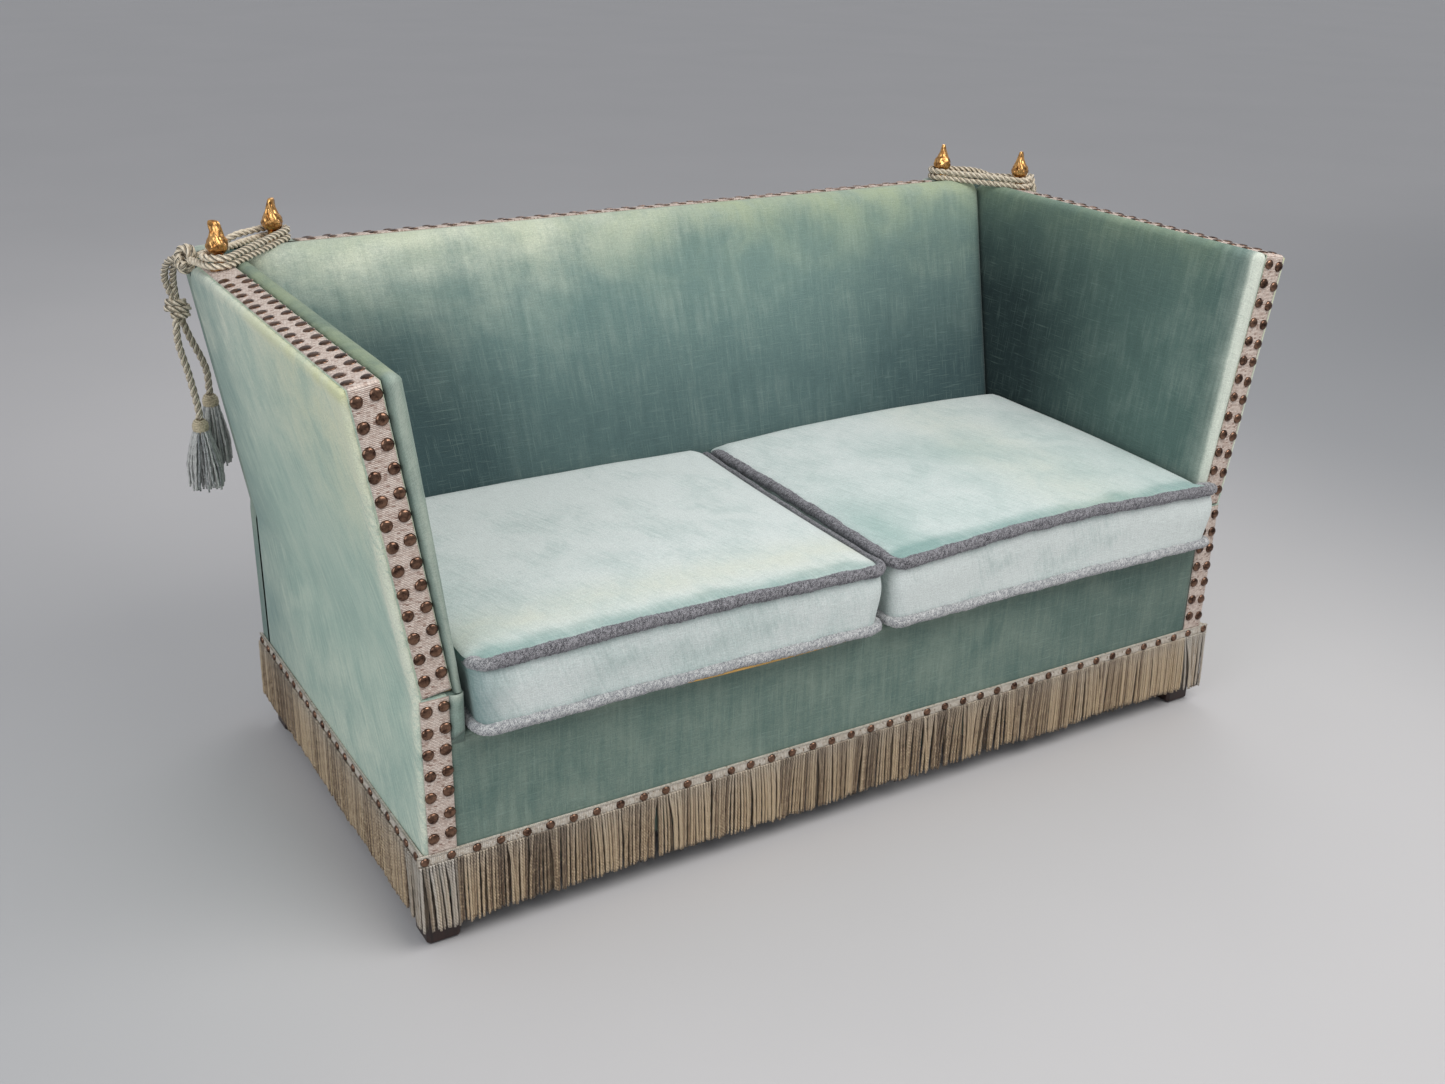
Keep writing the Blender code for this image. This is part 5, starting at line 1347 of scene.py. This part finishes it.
def build_fringe(name, start, end, along_x, stand, sign, paints, seed, corner_ends):
    """A woven heading with nails, over two layers of closely set twisted cords."""
    strand_material, heading_material, metal = paints
    chance = random.Random(seed)
    top, heading_foot, foot = fringe_top, fringe_top - fringe_heading, 0.0400
    lowest = 0.0285
    pitch = 0.0050
    corner_reach = 0.062
    tangle_start, tangle_end = 0.05, 0.36
    cord_top = heading_foot + 0.004
    builder = Builder()

    def place_of(along, out, z):
        if along_x:
            return at(along, stand + sign * out, z)
        return at(stand + sign * out, along, z)

    inner_layer, outer_layer = (0.0026, 0.0036, 8, 6), (0.00255, 0.0080, 19, 8)
    for layer, (radius, out, rings, around) in enumerate((inner_layer, outer_layer)):
        drift = 0.0
        length_drift = 0.0
        share = np.linspace(0, 1, rings)
        for index in range(int((end - start) / pitch) - 1 + layer):
            along = start + pitch * (index + 1.0 - 0.5 * layer)
            drift = drift * 0.88 + shake(chance, 0.0026)
            length_drift = length_drift * 0.9 + shake(chance, 0.0016)
            tangled = along_x and tangle_start < along < tangle_end
            by_start, by_end = along - start < corner_reach, end - along < corner_reach
            near_corner = (by_start and corner_ends[0]) or (by_end and corner_ends[1])
            loose = 2.0 if tangled or near_corner else 1.0
            sway = drift * loose
            if chance.random() < 0.07 * loose ** 1.7:
                sway += chance.choice((-1, 1)) * chance.uniform(0.004, 0.011)
            bottom = foot + length_drift + shake(chance, 0.0028) - (0.003 if near_corner else 0)
            bottom = max(bottom, lowest)
            shift = sway * share ** 1.5 + (shake(chance, 0.0010) + sway * 0.3) * np.sin(share * math.pi)
            own_out = out + shake(chance, 0.0005) + 0.0010 * share
            heights = cord_top + (bottom - cord_top) * share
            path = np.array([place_of(along + s, w, z) for s, w, z in zip(shift, own_out, heights)])
            if along_x:
                path[:, 0] = np.clip(path[:, 0], start + 0.002, end - 0.002)
            tone = min(1, max(0, 0.50 + drift * 70 + shake(chance, 0.45)))
            # Painted shade: the back layer darker, and each cord darker just under the heading.
            dark = 0.60 - 0.60 * layer + 0.20 * np.exp(-share * 14)
            pale = chance.uniform(0.35, 0.9) if near_corner else chance.uniform(0, 0.25) ** 1.5
            pale = np.minimum(1, 0.55 * np.exp(-share * 3.5) + pale)
            own_radius = radius * chance.uniform(0.94, 1.06) * np.where(share > 0.97, 0.75, 1.0)
            twisted(builder, path, own_radius, plies=2, pitch=0.048, around=around, swell=0.30,
                    start_turn=chance.uniform(0, 6), tone=tone, shade=dark[:, None], pale=pale[:, None])
    builder.make(name + "_cords", strand_material, "fringe", "seat", name)

    steps = int((end - start) / 0.005)
    alongs = np.linspace(start + 0.0005, end - 0.0005, steps)
    centre = [place_of(along, 0.0004, (top + heading_foot) / 2) for along in alongs]
    facing = (0, sign, 0) if along_x else (sign, 0, 0)
    strip = Builder()
    ribbon(strip, centre, [facing] * steps, (0, 0, 1), top - heading_foot, 0.0050, 9)
    for level, size in ((top - 0.0012, 0.0017), (heading_foot + 0.0010, 0.0019)):
        edge = np.array([place_of(along, 0.0048, level + 0.0003 * math.sin(along * 900)) for along in alongs])
        twisted(strip, resample(edge, 0.0024), size, plies=2, pitch=0.010, around=6, swell=0.5)
    strip.make(name + "_heading", heading_material, "braid", "seat", orient=True)

    spots = []
    nail_step = 0.0405
    nail_level = 0.1610
    count = int((end - start) / nail_step) + 1
    first = (start + end - nail_step * (count - 1)) / 2
    for index in range(count):
        along = first + nail_step * index + shake(chance, 0.0016)
        spots.append((place_of(along, 0.0052, nail_level + shake(chance, 0.0007)), facing))
    heads = Builder()
    nail_heads(heads, spots, radius=0.0074, height=0.0048, seed=seed + 1)
    heads.make(name + "_nails", metal, "brass", "seat")


# Cushions

def ring_points(half_x, half_y, corner, draw_in, counts=(40, 36), corner_steps=7):
    """A rounded rectangle from the front right corner, anticlockwise, with its sides drawn in."""
    points = []
    corners = [(1, -1), (1, 1), (-1, 1), (-1, -1)]
    centres = [np.array((sx * (half_x - corner), sy * (half_y - corner))) for sx, sy in corners]
    for index, centre in enumerate(centres):
        start = math.radians(-90 + 90 * index)
        for bend in [0.0] + bends(corner_steps):
            points.append(centre + corner * np.array((math.cos(start + bend), math.sin(start + bend))))
        end_angle = start + math.radians(90)
        normal = np.array((math.cos(end_angle), math.sin(end_angle)))
        begin = points[-1].copy()
        finish_at = centres[(index + 1) % 4] + corner * normal
        count = counts[index % 2]
        for step in range(1, count):
            share = step / count
            points.append(begin + (finish_at - begin) * share - normal * draw_in * math.sin(math.pi * share))
    return np.array(points)


def fluffy(builder, path, sizes, pale, seed):
    """A moss trim: a closed cord whose surface is broken up into small loops of yarn.

    sizes and pale have one value a point of the path.
    """
    spacing = 0.0024
    around = 18
    closed = np.concatenate([path, path[:1]])
    along = lengths_along(closed)
    path = resample(closed, spacing)[:-1]
    count = len(path)
    stations = np.arange(count + 1) / count * along[-1]
    radius = np.interp(stations[:-1], along, np.append(sizes, sizes[0]))[:, None]
    pale = np.interp(stations, along, np.append(pale, pale[0]))[:, None]
    tangents = np.roll(path, -1, 0) - np.roll(path, 1, 0)
    tangents /= np.linalg.norm(tangents, axis=1)[:, None]
    side_way = np.cross(tangents, (0, 0, 1))
    side_way /= np.linalg.norm(side_way, axis=1)[:, None]
    up_way = np.cross(side_way, tangents)
    angle = np.arange(around) / around * math.tau
    chance = np.random.default_rng(seed)
    rough = chance.uniform(0.90, 1.08, (count, around))
    rough[::2, ::2] += 0.03
    rough[1::2, 1::2] += 0.03
    fat = 1 + 0.06 * np.sin(np.arange(count) * 0.21 + seed)
    angle = angle[None, :, None]
    ring = np.cos(angle) * side_way[:, None, :] + np.sin(angle) * up_way[:, None, :]
    grid = path[:, None, :] + ring * (radius * rough * fat[:, None])[..., None]
    grid = np.concatenate([grid, grid[:1]])
    tone = chance.uniform(0, 1, (count, around))
    tone = np.concatenate([tone, tone[:1]])
    builder.add(grid, wrap=True, u=np.arange(around + 1) * 0.003, v=np.arange(count + 1) * spacing, pale=pale,
                tone=tone)


def build_cushion(side, sign, fabric, trim, ochre):
    """A box cushion: its drawn-in band, crowned top, flat bottom and the moss trims round both edges."""
    inner, outer = 0.0015, 0.735
    cushion_front, cushion_rear = -0.044, 0.5945
    middle_x = sign * (inner + outer) / 2
    middle_y = (cushion_front + cushion_rear) / 2 + front_y
    half_x = (outer - inner) / 2 - 0.0004
    half_y = (cushion_rear - cushion_front) / 2
    pipe = 0.0098
    low_pipe = 0.0086
    draw = 0.0055
    corner = 0.026
    arch = 0.013 if sign > 0 else 0.004
    low_z = deck_height + 0.0002 + low_pipe
    top_front, top_climb = 0.4765, 0.0100
    roll_out = 0.0085
    corner_swell = 0.032
    own_body = side + "_cushion"

    def top_z(x, y):
        """The top trim rises a little towards the back and in the middle of the front."""
        level = top_front + top_climb * (y + half_y) / (2 * half_y) + arch * hump((x + half_x) / (2 * half_x))
        return level - 0.0095 * at_rear(y) - 0.0020 * by_arm(x, y)

    def at_rear(y):
        """1 along the rear, where the top rolls over its trim."""
        return smoothstep(half_y - 0.055, half_y - 0.011, y)

    def by_arm(x, y):
        """1 along the side by the arm, behind the front corner."""
        behind_front = smoothstep(-half_y + 0.022, -half_y + 0.060, y)
        return smoothstep(half_x - 0.050, half_x - 0.011, sign * x) * behind_front

    def spread(x, y):
        """The top rolls over its trim at the rear and by the arm."""
        return x + sign * roll_out * by_arm(x, y), y + roll_out * at_rear(y)

    def bulge(x, y):
        """The right cushion's front corner swells out in front of the arm."""
        if sign < 0:
            return 0 * x
        at_front = smoothstep(-half_y + 0.040, -half_y + 0.012, y)
        return corner_swell * smoothstep(half_x - 0.16, half_x - 0.01, x) * at_front

    rows = []
    count = 14
    for index in range(count + 1):
        t = index / count
        belly = math.sin(math.pi * t)
        offset = -0.0030 + 0.0050 * belly - 0.0015 * math.sin(math.tau * t)
        ring = ring_points(half_x - pipe + offset, half_y - pipe + offset, corner, draw + 0.003 * belly)
        z = low_z + (top_z(*ring.T) - low_z) * t
        ring = ring + (np.stack(spread(*ring.T), 1) - ring) * smoothstep(0.6, 1.0, t)
        rows.append(np.stack([ring[:, 0] + bulge(*ring.T), ring[:, 1], z], 1))
    rows = np.array(rows)
    wave = cloud(rows, 0.08, sign + 20) * 0.0014
    band_share = np.linspace(0, 1, count + 1)[:, None]
    outwards = rows[..., :2] / np.linalg.norm(rows[..., :2], axis=-1, keepdims=True)
    rows[..., :2] += outwards * (wave * np.sin(band_share * math.pi))[..., None]
    # The band is paler towards the front and less pale along its top and foot, where painted shade lies; the
    # left cushion's band falls into painted shade by the left arm, and the right one's is paler, most towards
    # the right arm.
    front = smoothstep(-half_y + 0.04, -half_y, rows[..., 1])
    worn = 0.62 + 0.30 * front - 0.25 * smoothstep(0.76, 1.0, band_share)
    worn = worn - 0.15 * smoothstep(0.2, 0.0, band_share)
    shade = 0.25 * smoothstep(0.86, 1.0, band_share) + 0.15 * smoothstep(0.12, 0.0, band_share)
    if sign < 0:
        shade = shade + 0.75 * smoothstep(-half_x + 0.075, -half_x, rows[..., 0])
    else:
        worn = worn + 0.20 + 0.40 * smoothstep(half_x - 0.20, half_x, rows[..., 0])
    rows[..., 0] += middle_x
    rows[..., 1] += middle_y
    body = Builder()
    body.add(rows, wrap=True, worn=worn, shade=shade, warm=0.0)

    panel_half_x, panel_half_y = half_x - pipe * 1.15, half_y - pipe * 1.15
    width, length = 2 * panel_half_x, 2 * panel_half_y
    profile = [(0.0, -0.0010), (0.0020, 0.0016), (0.007, 0.0042), (0.015, 0.0068), (0.028, 0.0090)]
    u, v, level, rim = pillow(width, length, (corner,) * 4, profile, (56, 50))
    x, y = u - panel_half_x, v - panel_half_y
    ease_x = np.clip(1 - np.abs(x) / panel_half_x, 0, 1)
    ease_y = np.clip(1 - np.abs(y) / panel_half_y, 0, 1)
    crown = 0.0105 * smoothstep(0, 0.75, ease_x) ** 0.6 * smoothstep(0, 0.75, ease_y) ** 0.6
    x = x - np.sign(x) * draw * hump(v / length) * smoothstep(0.25, 0.0, ease_x)
    y = y - np.sign(y) * draw * hump(u / width) * smoothstep(0.25, 0.0, ease_y)
    dents = cloud_on(x, y, 0.10, sign + 30) * 0.0018 + cloud_on(x, y, 0.28, sign + 33) * 0.0022
    z = top_z(x, y) + level + crown * (0.75 if sign < 0 else 0.45) + dents * np.minimum(1, rim / 0.05)
    z = z + 0.0060 * smoothstep(0.10, 0.32, y) * (1 - at_rear(y)) * np.minimum(1, rim / 0.03)
    if sign > 0:
        midway = hump((y + half_y) / (2 * half_y)) ** 0.7
        z = z + 0.0110 * midway * smoothstep(0.0, half_x - 0.02, x)
    x, y = spread(x, y)
    grid = np.stack([x + bulge(x, y) + middle_x, y + middle_y, z], -1)
    # Painted shade in a strip just behind the front trim, where the top is less pale; otherwise the top is
    # paler than the band, the left one less pale towards the left arm and pale along the middle split, the
    # right one less pale in a few patches.
    broken = 0.012 * cloud_on(x * 2.2, np.full_like(x, sign), 0.10, 41)
    from_front = y + panel_half_y + broken
    front_band = smoothstep(0.050, 0.016, from_front)
    worn = (0.90 if sign < 0 else 0.74) + 0.15 * smoothstep(-0.1, 0.25, y) - 0.55 * front_band
    if sign < 0:
        worn = worn - 0.20 * smoothstep(-0.22, -panel_half_x, x)
        worn = worn + 0.5 * smoothstep(panel_half_x - 0.05, panel_half_x, x)
    else:
        worn = worn - 0.12 * smoothstep(0.02, 0.20, x) * smoothstep(0.05, -0.15, y)
        worn = worn - 0.35 * close_to(x, 0.02, 0.09) * close_to(y, 0.02, 0.07)
        worn = worn - 0.55 * close_to(x, -0.31, 0.05) * close_to(y, -0.20, 0.12)
    shade = 0.30 * close_to(from_front, 0.018, 0.012) + 0.08 * front_band
    warm = 0.30 * close_to(y, -0.22, 0.05) if sign < 0 else 0.18 * close_to(x, 0.1, 0.1)
    body.add(grid, worn=worn, shade=shade, warm=warm)
    under = grid.copy()
    under[..., 2] = deck_height + 0.0008
    under[..., :2] = under[..., :2] * 0.999 + np.array((middle_x, middle_y)) * 0.001
    body.add(under, flip=True, worn=0.3)
    cushion = body.make(side + "_cushion_velvet", fabric, "velvet_aqua", own_body, side + "_seat_cushion")
    if sign < 0:
        share = np.linspace(0, 1, 60)
        xs = np.linspace(-0.395, -0.060, len(share))
        drop = 0.0046 * np.sin(math.pi * share) ** 0.5
        edge_depth, edge_top = -0.0335, low_z - 0.0060
        rows = [spots_at(xs, edge_depth + back, edge_top - drop * t)
                for t, back in ((0, 0.0), (0.5, -0.0012), (1.0, 0.0))]
        sheet("left_cushion_lining_edge", rows, ochre, "deck_cloth", own_body, skin=(0.0008, 0))

    trims = (("top", top_z, 3, pipe), ("bottom", lambda x, y: low_z + 0 * y, 5, low_pipe))
    for label, level_of, seed, size in trims:
        path = ring_points(half_x - pipe, half_y - pipe, 0.024, draw, (70, 60), 9)
        x, y = path.T
        z = level_of(x, y)
        along = np.arange(len(path))
        wobble = 0.0007 * np.sin(along * 0.35) + 0.0004 * np.sin(along * 0.83)
        sizes = np.full(len(path), size)
        pale = np.ones(len(path))
        if label == "top":
            if sign < 0:
                behind_front = smoothstep(-half_y + 0.01, -half_y + 0.05, y)
                by_split = smoothstep(half_x - 0.030, half_x - 0.014, x) * behind_front
                sizes = size * (1 - 0.60 * by_split)
                z = z + 0.004 * by_split
            tucked = np.maximum(at_rear(y), by_arm(x, y))
            sizes = sizes * (1 - 0.35 * tucked)
            z = z - 0.0110 * tucked
            pale = 0.55 * smoothstep(half_x - 0.045, half_x - 0.010, np.abs(x)) * (sign * x > 0)
        path = np.stack([x + bulge(x, y) + middle_x, y + middle_y, z + wobble], 1)
        moss_cord = Builder()
        fluffy(moss_cord, path, sizes, pale, seed + (sign > 0))
        moss_cord.make(side + "_" + label + "_trim", trim, "velvet_aqua", own_body)


# Finials

def build_finial(name, body, spot, neck, brass, turn, pointed, slope=0.0):
    """A cast brass finial: turned foot and neck, and a bulb with leaf relief and a flattened tip."""
    foot_height = 0.0050
    bulb_foot = foot_height + neck
    bulb_height = 0.0540
    outline = [(0.0150, -0.0010), (0.0152, 0.0018), (0.0148, 0.0038), (0.0118, 0.0052), (0.0092, 0.0070),
               (0.0080, foot_height + neck * 0.45)]
    bulb = [(0.0082, -0.0030), (0.0100, 0.0), (0.0138, 0.0030), (0.0162, 0.0090), (0.0168, 0.0150),
            (0.0152, 0.0200), (0.0124, 0.0265), (0.0102, 0.0325), (0.0090, 0.0385), (0.0084, 0.0440),
            (0.0082, 0.0490), (0.0064, 0.0528), (0.0024, bulb_height)]
    outline += [(radius, bulb_foot + rise) for radius, rise in bulb]
    dense = curve_through([(radius, 0, height) for radius, height in outline], 5)
    columns = 60
    angle = np.arange(columns) / columns * math.tau
    radius, height = dense[:, 0][:, None], dense[:, 2][:, None]
    share = np.clip((height - bulb_foot) / bulb_height, 0, 1)
    leaf = np.abs(np.sin(angle * 2.5 + share * 3.2)) ** 0.7
    tiers = np.abs(np.sin(share * 10.5 + 0.9 * np.cos(angle * 5)))
    carved = smoothstep(0.02, 0.15, share) * smoothstep(1.0, 0.85, share)
    relief = 1 + (0.16 * (leaf - 0.5) + 0.10 * (tiers - 0.6)) * carved
    veined = smoothstep(0.05, 0.2, share) * smoothstep(0.95, 0.75, share)
    surface = relief * (1 + 0.045 * np.sin(angle * 10 + share * 14) * veined)
    hollow = np.clip((0.98 - surface) * 9, 0, 1) * carved
    flat = smoothstep(0.45, 0.95, share)
    wider, narrower, curl = (-0.25, 0.45, 0.0008) if pointed else (0.35, 0.42, 0.0030)
    x = radius * surface * np.cos(angle) * (1 + wider * flat) + curl * smoothstep(0.55, 1.0, share)
    y = radius * surface * np.sin(angle) * (1 - narrower * flat)
    world_x = x * math.cos(turn) - y * math.sin(turn)
    world_y = x * math.sin(turn) + y * math.cos(turn)
    drop = np.where(height < 0.003, world_x * slope, 0)
    grid = np.stack([spot[0] + world_x, spot[1] + world_y, spot[2] + height + drop], -1)
    builder = Builder()
    builder.add(grid[::-1], wrap=True, ends=True, shade=hollow[::-1])
    builder.make(name + "_cast", brass, "brass", body, name, orient=True)


def build_finials(brass):
    """All four finials, each with its own turn about its axis."""
    turns = {"left": (2.3, 0.9), "right": (0.3, 0.9)}
    middle = braid_outer_inset + braid_width / 2
    for side, sign in sides.items():
        on_arm, on_back = turns[side]
        foot = arm_place(sign, middle, arm_finial_depth, arm_height + gap + braid_thickness)
        build_finial(side + "_arm_finial", side + "_arm", foot, arm_finial_neck, brass, on_arm, sign > 0,
                     -sign * flare)
        foot = at(sign * back_finial_x, back_finial_depth, back_height + gap)
        build_finial(side + "_back_finial", "seat", foot, back_finial_neck, brass, on_back, sign > 0)


# Materials of the CAD parts that stay

def dress_frame():
    """Materials by the last word, or the kind, of each node's name."""
    pine = srgb(196, 158, 112), srgb(160, 118, 76)
    beech = srgb(204, 166, 124), srgb(170, 128, 88)
    paints = {
        "foot": wood_paint("foot_stain", srgb(50, 30, 25), srgb(28, 17, 15), (0.010, 0.010, 0.08), 0.45),
        "post": wood_paint("pine_upright", *pine, (0.012, 0.012, 0.30), 0.6),
        "rail": wood_paint("pine_long", *pine, (0.35, 0.012, 0.012), 0.6),
        "frame": wood_paint("beech_deep", *beech, (0.012, 0.35, 0.012), 0.6),
        "webbing": cloth_paint("webbing_weave", srgb(70, 64, 58), srgb(105, 97, 86), 0.0022),
        "dust_cover": cloth_paint("dust_weave", srgb(38, 37, 38), srgb(56, 55, 56), 0.0014),
        "hinge": metal_paint("strip_steel", (0.56, 0.57, 0.58), (0.36, 0.35, 0.34), 0.38, 0.02, 0.03),
    }
    for name, node in nodes.items():
        named = [word for word in ("hinge", "webbing", "dust_cover") if word in name]
        word = named[0] if named else name.rsplit("_", 1)[-1]
        if word in paints:
            for holder in node.material_slots:
                holder.material = paints[word]


build_camera()

rope_paint = strand_paint("rope_yarn", srgb(248, 236, 214), srgb(216, 198, 170), srgb(160, 142, 118), 3,
                          thread=srgb(62, 64, 58))
tassel_paint = strand_paint("tassel_thread", srgb(236, 235, 230), srgb(204, 204, 200), srgb(140, 142, 144),
                            4, 340, groove=0.12)
head_paint = strand_paint("tassel_head_yarn", srgb(226, 212, 182), srgb(204, 188, 156), srgb(146, 130, 106),
                          2, 250, groove=0.10)
for side_name, side_sign in sides.items():
    build_rope(side_name, side_sign, rope_paint, tassel_paint, head_paint)

build_stage()

sage = velvet("sage_velvet", srgb(164, 189, 174), srgb(214, 219, 200), srgb(112, 136, 134),
              srgb(204, 206, 166), slub=0.05, nap=0.66, nap_turn=math.radians(-32),
              nap_size=(0.006, 0.085), patch=0.36, weave=0.03, ragged=0.9, sheen=0.24)
teal = velvet("teal_velvet", srgb(92, 118, 111), srgb(222, 228, 214), srgb(28, 48, 49),
              srgb(150, 162, 122), slub=0.14, slub_colour=srgb(150, 172, 160), nap=0.18, patch=0.20,
              weave=0.10, ragged=0.22, sheen=0.18)
teal_front = velvet("teal_velvet_front", srgb(93, 117, 109), srgb(206, 212, 190), srgb(52, 76, 72),
                    srgb(196, 200, 158), slub=0.20, slub_colour=srgb(150, 172, 160), nap=0.16,
                    patch=0.13, weave=0.09, ragged=0.5, sheen=0.16)
teal_back = velvet("teal_velvet_back", srgb(108, 134, 130), srgb(216, 220, 204), srgb(56, 78, 80),
                   srgb(160, 172, 136), slub=0.15, slub_colour=srgb(160, 182, 172), nap=0.22,
                   patch=0.19, weave=0.09, ragged=0.42, sheen=0.18)
aqua = velvet("aqua_velvet", srgb(150, 178, 172), srgb(212, 219, 216), srgb(100, 132, 130),
              srgb(206, 206, 178), slub=0.12, nap=0.30, nap_turn=math.radians(20),
              nap_size=(0.005, 0.07), patch=0.20, weave=0.09, ragged=0.22, sheen=0.25)
arm_braid = braid_paint("arm_braid_knit", srgb(230, 214, 202), srgb(206, 185, 172), srgb(160, 130, 116))
heading_braid = braid_paint("heading_weave", srgb(226, 218, 206), srgb(206, 194, 178), srgb(146, 128, 108),
                            (0.0032, 0.0030), 0.10)
fringe_paint = strand_paint("bullion_cord", srgb(230, 204, 166), srgb(152, 116, 80), srgb(82, 55, 34), 3, 230,
                            pale=(srgb(222, 214, 202), srgb(156, 146, 132)), groove=0.30)
bronze = metal_paint("nail_bronze", srgb(128, 99, 82), srgb(58, 41, 35), 0.24, 0.010)
brass_paint = metal_paint("cast_brass", srgb(230, 178, 112), srgb(136, 86, 44), 0.24, 0.008, 0.010,
                          recess=srgb(72, 42, 22))
moss = Paint("moss_trim", 0.95)
moss_tone = moss.mask("tone")
moss_tufts = moss.noise(moss.place("uv", (0.0016, 0.0016, 1)), 4, 0.75)
moss_mottle = moss.span(moss.plus(moss_tufts, moss.times(moss_tone, 0.16)), 0.44, 0.74)
moss_grey = moss.mix(moss_mottle, srgb(50, 49, 54), srgb(166, 164, 168))
moss_pale = moss.mix(moss_mottle, srgb(112, 114, 120), srgb(218, 218, 216))
moss.colour(moss.mix(moss.mask("pale"), moss_grey, moss_pale))
moss.bump(moss_tufts, 0.0016, 1.0)
moss.sheen(0.3, (0.9, 0.92, 1.0))
lining = cloth_paint("deck_weave", srgb(186, 176, 152), srgb(160, 148, 122), 0.0016)
ochre_cloth = cloth_paint("lining_edge", srgb(222, 178, 104), srgb(196, 150, 82), 0.0016)

for side_name, side_sign in sides.items():
    build_outer(side_name, side_sign, sage)
    build_edges(side_name, side_sign, sage, teal_front)
    build_arm_inner(side_name, side_sign, teal)
    build_side_roll(side_name, side_sign, teal)
    build_arm_braid(side_name, side_sign, arm_braid, bronze)
    build_side_braid(side_name, side_sign, arm_braid, bronze)
    build_cushion(side_name, side_sign, aqua, moss.material, ochre_cloth)
build_back_braid(arm_braid, bronze)
build_back_pad(teal_back)
build_back_cover(teal_back)
for side_name, side_sign in sides.items():
    build_back_side(side_name, side_sign, teal_back)
build_apron(teal_front)
build_deck(lining)
fringe_paints = (fringe_paint, heading_braid, bronze)
fringe_reach = half_width + 0.0115
build_fringe("front_fringe", -fringe_reach, fringe_reach, True, -gap, -1, fringe_paints, 61, (True, True))
for side_name, side_sign, side_seed in (("left", -1, 62), ("right", 1, 63)):
    build_fringe(side_name + "_fringe", 0.0, base_depth - 0.001, False, side_sign * (half_width + gap),
                 side_sign, fringe_paints, side_seed, (True, False))
build_finials(brass_paint)
dress_frame()

bpy.context.scene.view_settings.view_transform = "Standard"
